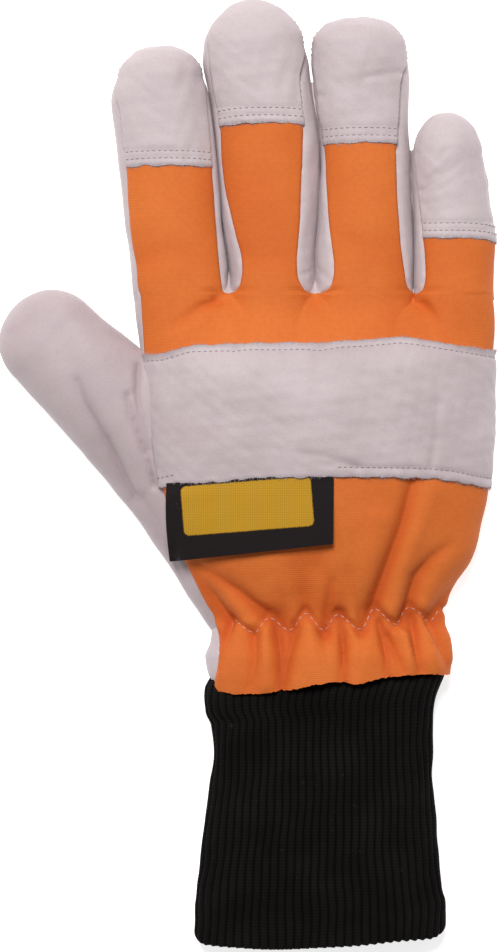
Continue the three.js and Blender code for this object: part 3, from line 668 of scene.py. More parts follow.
capRows = {
    # raw edge's y at the left, middle and right, how far round it reaches at the raw edge and near the tip,
    # and from where to where it widens to close over the tip
    "index": {"edge": (101.0, 101.8, 100.8), "left": (0.85, 0.82), "right": (0.875, 0.92),
              "closeLeft": (118.5, 133.0), "closeRight": (124.4, 134.3)},
    "middle": {"edge": (114.2, 116.0, 114.2), "left": (0.89, 0.87), "right": (0.76, 0.81),
               "closeLeft": (136.3, 150.2), "closeRight": (129.7, 143.6)},
    "ring": {"edge": (108.6, 109.4, 108.4), "left": (0.95, 0.92), "right": (0.73, 0.84),
             "closeLeft": (127.1, 138.9), "closeRight": (128.4, 138.9)},
    "little": {"edge": (78.5, 78.0, 76.6), "left": (0.80, 0.88), "right": (1.06, 1.06),
               "closeLeft": (98.7, 110.6), "closeRight": (104.0, 113.9)},
}
closedShare = 0.98


# where the seams beside a finger's back are, as shares of its half width
def seamShares(name, y):
    spec = capRows[name]
    start, low = fingerLines[name][0][-1], spec["edge"][1]
    middle, half, _, _ = fingerSection(name, y)
    half = np.maximum(half, 0.01)
    nearTip, onCap = ease(low, start, y), ease(low - 1.5, low + 1.5, y)
    shares = []
    for side, way, edge in zip(("left", "right"), (-1, 1), fabricSides(name, y)):
        full = max(closedShare, spec[side][1])
        closing = ease(*spec["close" + side.title()], y)
        capShare = way * mix(mix(*spec[side], nearTip), full, closing)
        shares.append(mix((edge - middle) / half, capShare, onCap))
    return shares


# a seam's narrow groove in the leather beside it
def seamDip(name, x, y, deep=0.75, wide=0.8):
    middle, half, _, _ = fingerSection(name, y)
    left, right = seamShares(name, y)
    leftGap, rightGap = x - middle - left * half, x - middle - right * half
    return deep * (bell(leftGap, wide) + bell(rightGap, wide))


# the fabric's left seam on the hand: y, x
leftSeam = smoothTable([
    (-74.2, -11.6), (-70.3, -11.3), (-61.1, -10.2), (-54.5, -10.0), (-47.9, -11.8), (-41.2, -15.1),
    (-34.6, -18.2), (-28.7, -21.1), (-21.4, -23.9), (-11.6, -27.0), (-4.0, -29.1), (5.0, -31.4),
    (18.2, -33.6), (38.0, -34.9), (44.6, -35.2), (57.8, -35.7),
])


# palm: the leather round the hand and the fingers
palm = {
    "around": 110, "handRows": 120, "foot": -71.6, "end": 62.5, "closes": 59.0, "closedAt": 9.5,
    "inset": 0.5, "sunk": 5.5, "sunkAtSides": 4.0, "pastSeam": (0.2, 3.2), "pastSide": (0.22, 0.4),
    "hem": -70.3, "pastHem": 1.0, "fingerAround": 60, "fingerRows": 62, "fingerFoot": 50.0, "straight": 0.62,
    "fingerInset": 0.8, "covered": 1.1, "buried": 3.4,
}
tipGap = 0.004


# rows along a finger: even on its straight part, and closer together round the tip
def rowsToTip(along, straight, foot, start, reach):
    return np.where(
        along < straight,
        mix(foot, start, along / straight),
        start + reach * np.sin((along - straight) / (1 - straight) * np.pi / 2),
    )


def palmHandPlace(across, along):
    angle = across * 2 * np.pi
    y = mix(palm["foot"], palm["end"], along)
    closing = np.sqrt(np.clip(1 - ease(palm["closes"], palm["end"], y) ** 2, 0, 1))
    inward = ease(*palm["pastSeam"], handPoint(angle, y)[:, 0] - readTable(leftSeam, y, 1))
    under = np.where(angle < np.pi, inward, 1 - ease(*(np.pi + turn for turn in palm["pastSide"]), angle))
    sunk = mix(-palm["sunk"], -palm["sunkAtSides"], np.cos(angle) ** 8)
    points, out = raised(handPoint, angle, y, mix(-palm["inset"], sunk, under))
    points = points + out * slack(points)[:, None]
    points[:, 2] = palm["closedAt"] + (points[:, 2] - palm["closedAt"]) * closing
    hem = readTable(hemLine, points[:, 0], 1) - palm["hem"]
    points[:, 1] += (hem + palm["pastHem"]) * (1 - ease(-71.0, -54.5, y))
    return aboveFloor(points)


# the fabric's foot over the cuff: x, y
hemLine = smoothTable([
    (-15.9, -68.0), (-11.3, -70.6), (0.2, -71.6), (14.4, -70.3), (22.7, -68.6), (30.9, -67.7),
    (34.6, -68.6), (42.1, -66.7), (47.1, -66.0), (56.3, -65.3), (65.2, -65.3), (69.9, -65.7),
])


def palmFingerPlace(name):
    tip, start = fingerTips[name]["tip"], fingerLines[name][0][-1]

    def place(across, along):
        angle = across * 2 * np.pi
        y = rowsToTip(along, palm["straight"], palm["fingerFoot"], start, tip - start)
        middle, half, _, _ = fingerSection(name, y)
        left, right = seamShares(name, y)
        x = fingerPoint(name, angle, y)[:, 0]
        share = (x - middle) / np.maximum(half, 0.01)
        above = np.sin(angle) > 0
        covered = above * ease(0.5, 2.5, (share - left) * half) * ease(0.5, 2.5, (right - share) * half)
        dip = above * seamDip(name, x, y) * (1 - ease(tip - 4, tip - 1, y))
        crotchSide = {"index": ease(-0.6, -0.2, share), "little": 1 - ease(0.2, 0.6, share)}.get(name, 1)
        buried = palm["buried"] * (1 - ease(57.5, 62, y)) * ease(0, 0.35, np.sin(angle)) * crotchSide
        lift = mix(-palm["fingerInset"], 0.0, ease(52, 64, y)) - buried - dip
        lift = lift - palm["covered"] * covered * (1 - ease(tip - 6, tip - 1, y))
        points, out = raised(onFinger(name), angle, np.minimum(y, tip - tipGap), lift)
        return aboveFloor(points + out * slack(points)[:, None])

    return place


def tubeFromSheet(piece):
    weld(piece, 0.00003)
    faceOut(piece)
    return piece


handTube = shapedSheet("palm_hand", palm["around"], palm["handRows"], palmHandPlace)
fingerTubes = [
    shapedSheet("palm_" + name, palm["fingerAround"], palm["fingerRows"], palmFingerPlace(name))
    for name in fingerNames
]
for tube in [handTube] + fingerTubes:
    weld(tube, 0.00003)
palmPiece = join([handTube] + fingerTubes, "palm_panel_leather")
faceOut(palmPiece)
finishPiece(palmPiece, palmLeather, ["palm_panel"])
print("palm made")

# thumb: x, y, half width, height
thumbRows = [
    (-4.5, -52.5, 5.6, 12.5), (-5.6, -49.7, 6.6, 13.2), (-15.5, -28.6, 9.75, 16.4),
    (-27.3, -0.9, 16.2, 20.0), (-37.9, 18.1, 19.9, 23.0), (-48.5, 28.3, 18.6, 24.4),
    (-56.8, 36.1, 17.7, 24.2), (-65.0, 44.0, 16.9, 23.2),
]
thumb = {
    "reach": 16.9, "around": 200, "rows": 230, "swell": 0.24, "squareness": 2.3, "waist": 0.45, "foot": 1.0,
    "straight": 0.74, "sideRoundness": 2.15, "topRoundness": 2.2, "stopsAt": 0.9998,
}
thumbCreases = [
    (0.7, 1.5, 1.7, 1.2, (-56.2, 30.7), (-53.6, 23.4), (-49.3, 15.8),
     (-46.3, 10.9), (-41.7, 1.3), (-37.7, -6.9)),
    (0.3, 0.7, 3.8, 2, (-54.9, 25.4), (-48.9, 14.2), (-41.7, -1.0)),
    (1.2, 1.5, 1.1, 1.2, (-39.7, 26.1), (-38.4, 19.5), (-35.7, 12.2), (-32.8, 3.6), (-31.1, -3.6)),
    (1.7, 0.9, 1.3, 1.4, (-35.7, 36.0), (-36.4, 26.4), (-35.7, 19.5), (-33.4, 8.2)),
    (-0.3, -0.8, 4.4, 2, (-59.2, 55.4), (-48.9, 38.0), (-42.3, 21.4), (-37.1, 5.6)),
    (-0.3, -0.4, 1.0, 2, (-37.7, 24.8), (-34.7, 12.9), (-32.1, 1.7)),
    (1.0, 0.5, 2.2, 1.3, (-35.1, -8.2), (-30.5, -14.9), (-25.2, -26.4), (-17.3, -44.6)),
    (0.5, 0.4, 3.4, 2, (-77.3, 46.5), (-74.0, 48.5), (-69.4, 50.5)),
]


def thumbPath():
    rows = np.array(thumbRows)
    way = wayAlong(rows[:, :2])
    return smoothTable([(at, *row) for at, row in zip(way, rows)]), way[-1]


thumbLine, thumbStraight = thumbPath()
thumbEnd = unit(np.array([thumbLine[c][-1] - thumbLine[c][-6] for c in (1, 2)]))
thumbEnd /= np.linalg.norm(thumbEnd)


def thumbPoint(angle, s):
    beyond = np.clip((s - thumbStraight) / thumb["reach"], 0, 1)
    extra, at = np.maximum(0, s - thumbStraight), np.minimum(s, thumbStraight)
    cx, cy = (readTable(thumbLine, at, c) + thumbEnd[c - 1] * extra for c in (1, 2))
    half = readTable(thumbLine, at, 3) * arch(beyond, thumb["sideRoundness"])
    height = readTable(thumbLine, at, 4)
    ahead = np.minimum(at + 0.5, thumbStraight)
    dx, dy = (readTable(thumbLine, ahead, c) - readTable(thumbLine, at - 0.5, c) for c in (1, 2))
    offset = half * ringAcross(angle, thumb["squareness"]) / np.hypot(dx, dy)
    fullness = arch(beyond, thumb["topRoundness"])
    z = ringHeight(angle, height, height * thumb["waist"], thumb["squareness"], fullness)
    return stacked(cx + dy * offset, cy - dx * offset, z)


def thumbPlace(across, along):
    reach = thumb["reach"] * thumb["stopsAt"]
    s = rowsToTip(along, thumb["straight"], thumb["foot"], thumbStraight, reach)
    points, out = raised(thumbPoint, across * 2 * np.pi, s, np.zeros_like(s))
    press = pressOf(thumbCreases, points[:, 0], points[:, 1]) * ease(4, 14, points[:, 2])
    swell = thumb["swell"] * (0.6 * leatherSwells(points) + 0.5 * broadSwells(points))
    swell = swell * ease(1, 8, points[:, 2])
    return aboveFloor(points + out * (swell - press)[:, None])


thumbPiece = shapedSheet("thumb_leather", thumb["around"], thumb["rows"], thumbPlace)
tubeFromSheet(thumbPiece)
markFoldShade(thumbPiece, thumbCreases, 1.7)
finishPiece(thumbPiece, thumbLeatherPaintedShade, ["thumb"])
print("thumb made")

# back: the orange fabric, gathered at the wrist
zigzag = [
    (-12.0, -50.5), (-7.7, -53.1), (-5.4, -47.2), (1.9, -52.5), (6.2, -46.5), (13.8, -51.5), (18.7, -44.9),
    (24.7, -51.5), (29.3, -45.5), (37.2, -51.5), (41.8, -43.6), (48.7, -50.2), (53.7, -43.2),
    (61.3, -49.2), (64.6, -43.9), (66.6, -45.2),
]
gathers = [
    (1.3, 1.3, 1.2, 2, *zigzag),
    (3.3, 0.8, 2.1, 1.4, (-6.4, -48.5), (-13.3, -38.6), (-20.2, -30.0)),
    (3.7, 0.9, 2.2, 1.4, (5.8, -46.5), (-2.7, -39.3), (-15.9, -30.0)),
    (1.9, 0.3, 3.7, 1.4, (11.8, -50.8), (11.5, -41.2), (9.1, -33.0)),
    (2.3, 0.6, 4.2, 1.4, (18.7, -45.2), (18.1, -36.3), (16.4, -27.4)),
    (3.4, 0.9, 2.1, 1.4, (25.3, -51.2), (26.3, -42.9), (27.3, -35.3)),
    (1.3, 0.3, 2.9, 1.4, (30.3, -45.5), (30.9, -38.0)),
    (2.6, 0.7, 3.2, 1.4, (37.9, -50.8), (35.5, -41.2), (33.6, -33.0)),
    (4.2, 1.7, 2.2, 1.4, (40.8, -44.9), (45.4, -31.4), (50.7, -16.2), (54.0, -2.3)),
    (3.7, 0.7, 2.2, 1.4, (51.4, -48.5), (55.3, -34.0), (60.6, -27.4), (65.9, -22.8)),
    (2.9, 0.5, 2.2, 1.4, (60.3, -47.2), (64.6, -41.2), (68.9, -35.3)),
    (2.4, 0.6, 1.8, 1.2, (-7.7, -51.8), (-9.0, -61.7)),
    (2.4, 1.4, 2.1, 1.2, (1.6, -52.5), (2.2, -59.4), (0.2, -69.6)),
    (4.3, 3.0, 1.7, 1.2, (9.1, -47.9), (10.5, -57.8), (10.8, -70.6)),
    (3.8, 2.1, 1.8, 1.2, (15.4, -50.2), (13.4, -58.4), (11.5, -69.0)),
    (2.4, 0.2, 2.1, 1.2, (25.0, -51.5), (25.3, -58.4)),
    (4.1, 3.0, 1.5, 1.2, (30.3, -46.5), (31.3, -56.1), (31.6, -69.6)),
    (1.9, 0.2, 2.1, 1.2, (37.5, -51.5), (36.5, -59.4)),
    (3.5, 2.0, 1.5, 1.2, (43.5, -48.5), (45.4, -57.8), (46.4, -66.3)),
    (3.0, 1.5, 1.6, 1.2, (46.1, -52.5), (49.1, -59.4), (51.4, -65.0)),
    (3.8, 2.4, 1.6, 1.2, (54.4, -47.2), (55.3, -56.1), (56.7, -64.4)),
    (2.8, 1.4, 2.3, 1.4, (60.6, -49.2), (63.6, -56.1), (66.2, -63.0)),
    (-1.0, -0.9, 3.2, 2, (-2.7, -50.5), (-3.4, -57.8), (-4.1, -71.0)),
    (-1.4, -1.0, 2.2, 2, (5.8, -49.2), (5.8, -57.8), (5.8, -69.0)),
    (-1.6, -1.4, 4.2, 2, (20.7, -51.2), (21.4, -59.4), (22.3, -69.0)),
    (-1.4, -1.2, 3.4, 2, (37.5, -53.1), (38.2, -59.4), (38.8, -67.0)),
    (-1.2, -0.9, 1.8, 2, (50.7, -50.5), (53.0, -57.8), (53.7, -64.4)),
    (-1.2, -0.9, 2.0, 2, (58.0, -48.5), (60.3, -56.1), (62.3, -63.7)),
    (-1.3, -0.3, 2.6, 2, (0.6, -48.5), (-8.0, -38.0), (-15.9, -32.0)),
    (-1.0, -0.3, 4.0, 2, (15.1, -46.5), (12.4, -38.0), (7.2, -31.4)),
    (-1.5, -0.8, 3.8, 2, (34.9, -46.5), (37.5, -34.6), (43.5, -14.9)),
    (-1.6, -0.8, 3.2, 2, (47.4, -45.2), (50.7, -32.0), (56.7, -15.5), (60.6, -5.0)),
    (-1.3, -0.3, 2.8, 2, (57.3, -44.6), (61.3, -35.3), (69.2, -25.4)),
    (0.9, 0.2, 4.5, 2, (23.0, -29.7), (25.6, -21.4), (28.3, -14.9)),
    (1.9, 0.3, 1.7, 2, (-10.3, 57.1), (-15.6, 55.1), (-25.2, 48.5)),
    (-0.6, -0.1, 2.8, 2, (-7.7, 54.5), (-14.0, 51.8), (-23.2, 45.2)),
    (1.7, 0.3, 1.6, 2, (57.3, 56.1), (60.3, 53.1), (65.6, 45.2)),
    (-0.5, -0.1, 3.0, 2, (51.7, 55.8), (54.0, 50.5), (56.0, 45.2)),
    (0.7, 0.1, 3.0, 2, (22.0, 57.1), (22.3, 51.8)),
    (0.5, 0.3, 3.4, 2, (-3.4, 74.2), (4.5, 70.3), (13.8, 71.6)),
    (0.4, 0.2, 4.0, 2, (31.9, 77.5), (40.8, 74.2), (48.7, 76.2)),
    (0.5, 0.3, 3.6, 2, (-35.1, 70.3), (-25.8, 74.2), (-15.9, 70.3)),
]
fabric = {
    "lift": 0.55, "tuck": 1.15, "tuckWide": 0.75, "flare": 1.3, "wall": 0.6, "pastEdge": 0.42, "foot": -71.5,
    "hemStray": 0.16, "fromSeam": (0.5, 5.5), "hemPress": 0.72, "rows": 165, "columns": [52, 52, 56, 52],
    "evenColumns": 0.6, "fingerRows": 60, "rounds": (59.1, 61.1), "footSide": -35.7,
}
crotchX = [-6.7, 22.0, 55.7]
splitY = 57.8


def angleOf(share, squareness):
    return np.arccos(np.clip(-np.sign(share) * np.abs(share) ** (squareness / 2), -1, 1))


def handAngle(x, y):
    left, right = readTable(handLine, y, 1), readTable(handLine, y, 2)
    return angleOf((2 * x - left - right) / (right - left), handShape["topSquareness"])


corners = [float(handAngle(x, splitY)) for x in (fabric["footSide"], *crotchX)]
anchors = corners + [math.pi + fabric["pastEdge"]]
columnAngles = [anchors[0]]
for k, count in enumerate(fabric["columns"]):
    shares = np.linspace(0, 1, count)[1:]
    eased = mix(shares, (1 - np.cos(np.pi * shares)) / 2, fabric["evenColumns"])
    columnAngles += list(mix(anchors[k], anchors[k + 1], eased))
columnShares = (np.array(columnAngles) - anchors[0]) / (anchors[-1] - anchors[0])


def columnShare(across):
    return np.interp(across, np.linspace(0, 1, len(columnShares)), columnShares)


# the fabric's lift, tucked in at a seam
def softEdge(gap):
    return fabric["lift"] - fabric["tuck"] * bell(gap, fabric["tuckWide"])


def backSheetPlace(across, along):
    y = mix(fabric["foot"], splitY, along)
    seam = readTable(leftSeam, y, 1)
    angle = mix(handAngle(seam, y), anchors[-1], columnShare(across))
    plain = handPoint(angle, y)
    fromSeam = plain[:, 0] - seam
    hem = readTable(hemLine, plain[:, 0], 1) - fabric["foot"]
    stray = fabric["hemStray"] * edgeSwells(plain * np.array([1, 0, 0])) * bell(along, 0.006)
    hemmed = y + hem * (1 - ease(fabric["foot"], -46, y)) + stray
    flare = fabric["flare"] * (1 - ease(fabric["foot"], -56, y)) * ease(-1, 2.5, fromSeam)
    lift = softEdge(np.maximum(fromSeam, 0) + (angle > np.pi / 2) * 9)
    lift = lift + flare * np.maximum(0, np.sin(angle)) ** 0.5
    points, out = raised(handPoint, angle, hemmed, lift)
    press = pressOf(gathers, points[:, 0], points[:, 1]) * ease(*fabric["fromSeam"], points[:, 0] - seam)
    press = press * mix(fabric["hemPress"], 1, ease(-72, -61, y))
    return points + out * (slack(points) - press)[:, None]


def edgeRow(name):
    k = fingerNames.index(name)
    first = sum(fabric["columns"][:k]) - k
    last = first + fabric["columns"][k] - 1
    total = len(columnShares) - 1
    return first / total, last / total


def fingerSheetPlace(name):
    line = fabricLines[name]
    top = line[0][-1]
    first, last = edgeRow(name)
    low, high = readTable(line, splitY, 1), readTable(line, splitY, 2)
    squareness = fingerShape["squareness"]

    # the little finger's fabric goes on round its side
    def roundSide(angles, seatX, y, left, closed):
        middle, half, _, _ = fingerSection(name, splitY)
        begin = float(angleOf((low - middle) / half, squareness))
        own = np.where(angles < math.pi, angleOf((seatX - middle) / half, squareness), angles)
        middle, half, _, _ = fingerSection(name, y)
        start = angleOf((left - middle) / half, squareness)
        angle = mix(start, anchors[-1], (np.maximum(own, begin) - begin) / (anchors[-1] - begin))
        gap = np.maximum(fingerPoint(name, angle, y)[:, 0] - left, 0) + (angle > math.pi / 2) * 9
        return gap, *raised(onFinger(name), angle, y, mix(softEdge(gap), fabric["lift"], closed))

    def onTop(seatX, y, left, right, closed):
        x = mix(left, right, np.clip((seatX - low) / (high - low), 0, 1))
        gap = np.minimum(x - left, right - x)
        closed = closed * ((x > (left + right) / 2) | (name != "index"))
        return gap, *raised(backPoint, x, y, mix(softEdge(gap), fabric["lift"], closed))

    def place(across, along):
        column = mix(first, last, across)
        seat = backSheetPlace(column, np.ones_like(across))
        y = splitY + (top - splitY) * along**1.6
        left, right = fabricSides(name, y)
        closed = 1 - ease(*fabric["rounds"], y)
        angles = mix(anchors[0], anchors[-1], columnShare(column))
        seatX = handPoint(angles, np.full_like(angles, splitY))[:, 0]
        if name == "little":
            gap, points, out = roundSide(angles, seatX, y, left, closed)
        else:
            gap, points, out = onTop(seatX, y, left, right, closed)
        press = pressOf(gathers, points[:, 0], points[:, 1])
        points = points + out * (slack(points) - press)[:, None]
        # near the crotches it takes its height from the hand's sheet, and its first row is that sheet's last
        atFoot = along < 1e-6
        near = np.where(atFoot, 1, (1 - ease(0, 5, y - splitY)) * ease(0.3, 3.0, gap))
        carried = seat + np.stack([points[:, 0] - seat[:, 0], y - splitY, 0 * y], -1) * ~atFoot[:, None]
        return mix(points, carried, near[:, None])

    return place


backParts = [shapedSheet("back_hand", len(columnShares) - 1, fabric["rows"], backSheetPlace)]
for k, name in enumerate(fingerNames):
    columns, place = fabric["columns"][k] - 1, fingerSheetPlace(name)
    backParts.append(shapedSheet("back_" + name, columns, fabric["fingerRows"], place))
backPiece = join(backParts, "back_panel_fabric")
weld(backPiece, 0.00004)
thicken(backPiece, fabric["wall"])
markFoldShade(backPiece, gathers, deepestPress)
finishPiece(backPiece, orangeFabric, ["back_panel"], 60)
print("back made", len(backPiece.data.polygons), "faces")

# gussets: leather strips that meet in each finger crotch
gusset = {
    "half": 13, "rows": 74, "lift": 0.12, "wall": 0.5, "footBelow": 1.8, "leastHalf": 2.4, "past": 0.5,
    "groove": 0.7, "grooveWide": 0.8, "puff": 0.3, "sunk": 2.6, "swell": 0.14, "middle": 0.6,
}
gussetTops = {"index": 126.4, "middle": 129.7, "ring": 107.2}
gussetNodes = {"index": "gusset_index_middle", "middle": "gusset_middle_ring", "ring": "gusset_ring_little"}


gussetCreases = [
    (0.9, 0.3, 0.7, 2, (22.0, 67.7), (19.0, 66.3), (17.1, 66.0)),
    (0.8, 0.2, 0.7, 2, (22.0, 67.7), (25.0, 65.7), (27.0, 64.4)),
    (1.3, 0.3, 0.7, 2, (22.0, 67.7), (21.7, 64.4), (22.3, 61.7)),
    (0.6, 0.1, 0.6, 2, (22.0, 70.3), (19.7, 69.0)),
    (0.6, 0.1, 0.6, 2, (22.0, 64.4), (19.7, 62.7)),
    (1.2, 0.3, 0.7, 2, (-6.4, 66.3), (-6.4, 63.7), (-7.4, 61.1)),
    (0.6, 0.1, 0.6, 2, (-6.4, 65.7), (-4.1, 65.0)),
    (0.7, 0.1, 0.6, 2, (54.7, 61.7), (56.7, 61.1)),
    (0.35, 0.1, 0.9, 2, (17.7, 101.3), (22.3, 102.3)),
    (0.3, 0.1, 0.9, 2, (18.1, 86.8), (22.3, 85.1)),
]


def gussetPlace(name):
    other = fingerNames[fingerNames.index(name) + 1]
    foot = splitY - gusset["footBelow"]

    def place(across, along):
        y = foot + (gussetTops[name] - foot) * along**1.7
        slitX = readTable(fingerLines[name], y, 2)
        left = np.minimum(readTable(fabricLines[name], y, 2) - gusset["past"], slitX - gusset["leastHalf"])
        right = np.maximum(readTable(fabricLines[other], y, 1) + gusset["past"], slitX + gusset["leastHalf"])
        side = np.where(across < 0.5, left, right)
        reach = np.sin(np.minimum(across, 1 - across) * np.pi)
        x = np.where(np.abs(across - 0.5) < 1e-6, slitX, mix(side, slitX, reach))
        groove = gusset["groove"] * bell(np.abs(x - side), gusset["grooveWide"])
        puff = gusset["puff"] * np.sin(np.pi * np.clip(reach, 0, 1)) * ease(splitY, splitY + 4, y)
        sunk = gusset["sunk"] * (1 - ease(splitY - 0.6, splitY + 1.7, y))
        points, out = raised(backPoint, x, y, gusset["lift"] + puff - groove - sunk)
        press = pressOf(gussetCreases, points[:, 0], points[:, 1])
        points[:, 2] += gusset["swell"] * fineSwells(points) + slack(points) - press
        points[:, 0] = np.where(np.abs(x - slitX) < gusset["middle"], x, points[:, 0])
        return points

    return place


for name, node in gussetNodes.items():
    piece = shapedSheet(node + "_leather", gusset["half"] * 2, gusset["rows"], gussetPlace(name))
    thicken(piece, gusset["wall"])
    finishPiece(piece, palmLeather, [node], 70)
print("gussets made")

# fingertip caps
cap = {
    "lift": 1.25, "wall": 1.15, "columns": 56, "rows": 60, "swell": 0.3, "straight": 0.55, "stopsAt": 0.9990,
    "evenColumns": 0.35, "width": 30, "tuck": 1.7, "tuckWide": 0.95, "front": 1.125, "turned": 0.8,
    "edgeDown": 0.25, "stitchDip": 0.35,
}
capCreases = [
    (0.5, 0.6, 1.0, 2, (38.8, 130.7), (45.1, 132.0), (51.4, 132.7)),
    (0.5, 0.1, 1.0, 2, (23.0, 125.1), (27.0, 124.4)),
    (0.8, 0.3, 1.0, 2, (56.7, 93.4), (62.3, 97.0), (69.2, 102.6)),
    (0.6, 0.2, 0.9, 2, (58.0, 96.4), (63.3, 100.0), (66.6, 104.0)),
    (0.5, 0.2, 0.9, 2, (61.9, 103.3), (65.9, 107.6)),
    (0.35, 0.1, 1.1, 2, (60.0, 92.7), (65.2, 95.4), (71.8, 98.7)),
    (0.4, 0.0, 1.3, 2, (58.0, 89.1), (66.6, 91.4)),
]


def capEdgeY(name, share):
    left, centre, right = capRows[name]["edge"]
    return centre + (mix(left, right, (share + 1) / 2) - centre) * share**2


def shareToAngle(share, squareness):
    inner = angleOf(np.minimum(share, 1), squareness)
    return np.where(share > 1, math.pi + (share - 1) * 6, inner)


# how far a cut edge strays along its length
def raggedEdge(along, seed):
    line = np.stack([along, np.full_like(along, 31.0 * seed), 0 * along], -1)
    return 0.2 * fineSwells(line) + 0.1 * edgeSwells(line)


def capPlace(name):
    k = fingerNames.index(name)
    spec, tip = capRows[name], fingerTips[name]["tip"]
    start, low = fingerLines[name][0][-1], spec["edge"][1]

    def place(across, along):
        y = rowsToTip(along, cap["straight"], low, start, (tip - start) * cap["stopsAt"])
        shares = seamShares(name, np.maximum(y, low + 1.5))
        eased = mix(across, (1 - np.cos(np.pi * across)) / 2, cap["evenColumns"])
        angle = mix(*(shareToAngle(share, fingerShape["squareness"]) for share in shares), eased)
        share = np.clip(-np.cos(angle), -1, 1)
        y = y + (capEdgeY(name, share) - low) * (1 - ease(low, start, y))
        y = y + raggedEdge(share * 16, k) * bell(along, 0.012)
        # the little finger's cap has no seam at its right side
        seamless = (across > 0.5) & (spec["right"][0] > 1)
        sideGap = np.minimum(across, 1 - across) * cap["width"]
        tuck = np.where(seamless, 0, cap["tuck"] * bell(sideGap, cap["tuckWide"]))
        turned = cap["turned"] * ease(0.86, 0.98, np.abs(share))
        turned = np.where(seamless, turned * ease(low + 3, low + 12, y), turned)
        edgeDown = cap["edgeDown"] * bell(along, 0.02) + cap["stitchDip"] * stitchDip(name, y)
        lift = cap["lift"] - np.maximum(tuck, turned) - cap["front"] * ease(0.955, 1.0, along) - edgeDown
        points, out = raised(onFinger(name), angle, np.minimum(y, tip - tipGap), lift)
        press = pressOf(capCreases, points[:, 0], points[:, 1])
        swell = cap["swell"] * (0.4 * leatherSwells(points) + 0.3 * fineSwells(points))
        swell = swell * np.minimum(1, sideGap / 3)
        return points + out * (slack(points) + swell - press)[:, None]

    return place


stitchGaps = (2.5, 4.9)  # how far the two rows of stitches are from a cap's raw edge


def stitchDip(name, y):
    return sum(bell(y - capRows[name]["edge"][1] - gap, 0.7) for gap in stitchGaps)


for name in fingerNames:
    piece = shapedSheet("fingertip_cap_%s_leather" % name, cap["columns"], cap["rows"], capPlace(name))
    weld(piece, 0.00001)
    thicken(piece, cap["wall"])
    finishPiece(piece, capLeather, ["fingertip_cap_" + name], 60)
print("caps made")

# knuckle band
bandTop = smoothTable([
    (-39.0, 39.8), (-35.1, 40.1), (-29.8, 40.1), (-24.2, 41.2), (-18.2, 42.6), (-6.0, 42.7), (5.5, 43.1),
    (24.0, 43.1), (31.9, 43.9), (37.5, 44.1), (51.4, 45.0), (60.0, 43.9), (69.5, 42.9), (76.5, 41.9),
    (81.7, 41.2), (86.4, 40.9),
])
bandFoot = smoothTable([
    (-35.7, -4.6), (-30.5, -4.1), (-20.9, -2.3), (-10.3, -2.0), (0.6, -0.8), (13.8, -0.5), (29.6, -0.3),
    (45.8, -0.5), (56.7, -0.8), (65.6, -1.5), (73.2, -3.0), (79.1, -4.1), (83.1, -4.6),
])
band = {
    "lift": 1.55, "wall": 1.25, "columns": 190, "rows": 72, "swell": 0.3, "pastEdge": 0.36,
    "foot": -2.3, "top": 42.2, "seam": (-30.3, -35.4), "underTop": 0.6, "edge": 0.02,
    "dip": 0.4, "dipWide": 0.8, "tuck": 1.4, "tuckWide": 0.9,
}
bandCreases = [
    (0.2, 0.6, 1.5, 2, (62.3, 24.8), (61.6, 12.9), (60.0, 3.0)),
    (0.1, 0.35, 1.6, 2, (54.0, 9.6), (53.4, 3.0)),
    (0.8, 0.1, 1.6, 2, (23.3, 40.6), (22.7, 32.7), (22.3, 24.8)),
    (0.7, 0.1, 1.5, 2, (-4.1, 40.6), (-2.7, 36.6), (-0.8, 32.7)),
    (0.2, 0.6, 1.3, 2, (9.5, 8.2), (23.7, 6.3), (35.9, 2.6)),
    (0.1, 0.4, 1.0, 2, (17.1, 5.6), (27.0, 3.0)),
    (0.4, 0.3, 3.2, 2, (73.2, 34.0), (74.5, 20.8), (73.2, 6.6)),
    (0.3, 0.2, 4.2, 2, (-25.8, 34.0), (-22.5, 24.8), (-23.9, 11.6)),
]
bandStitchGaps = {"top": 1.9, "foot": 3.0}


def bandPlace(across, along):
    y = mix(band["foot"], band["top"], along)
    seam = mix(*band["seam"], along)
    angle = mix(handAngle(seam, y), math.pi + band["pastEdge"], across)
    x = handPoint(angle, y)[:, 0]
    foot, top = readTable(bandFoot, x, 1), readTable(bandTop, x, 1)
    way = x + 40 * np.maximum(angle - math.pi, 0)
    y = mix(foot, top - band["underTop"], along)
    y = y + raggedEdge(way, 5) * bell(along, band["edge"])
    y = y + 0.8 * raggedEdge(way, 6) * bell(1 - along, band["edge"])
    length = top - foot
    dip = bell(along * length - bandStitchGaps["foot"], band["dipWide"]) * ease(17.1, 50.1, x)
    dip = dip + bell((1 - along) * length - bandStitchGaps["top"], band["dipWide"])
    tuck = band["tuck"] * bell(np.maximum(x - seam, 0), band["tuckWide"]) * (angle < np.pi / 2)
    points, out = raised(handPoint, angle, y, band["lift"] - band["dip"] * dip - tuck)
    press = pressOf(bandCreases, points[:, 0], points[:, 1])
    swell = band["swell"] * (0.4 * leatherSwells(points) + 0.3 * fineSwells(points))
    return points + out * (slack(points) + swell - press)[:, None]


bandPiece = shapedSheet("knuckle_band_leather", band["columns"], band["rows"], bandPlace)
thicken(bandPiece, band["wall"])
finishPiece(bandPiece, bandLeather, ["knuckle_band"], 60)
print("band made")

# label
labelCorners = {
    "topLeft": (-26.7, 0.3), "topRight": (28.1, 1.7), "footLeft": (-25.8, -28.5), "footRight": (27.8, -22.6),
}
label = {
    "columns": 56, "rows": 30, "wall": 0.7, "lift": 0.9, "flare": 2.3, "bowed": 0.8, "sewn": 0.8,
    "under": 0.72, "stiffness": 0.65, "flatSize": (0.0555, 0.0275),
}


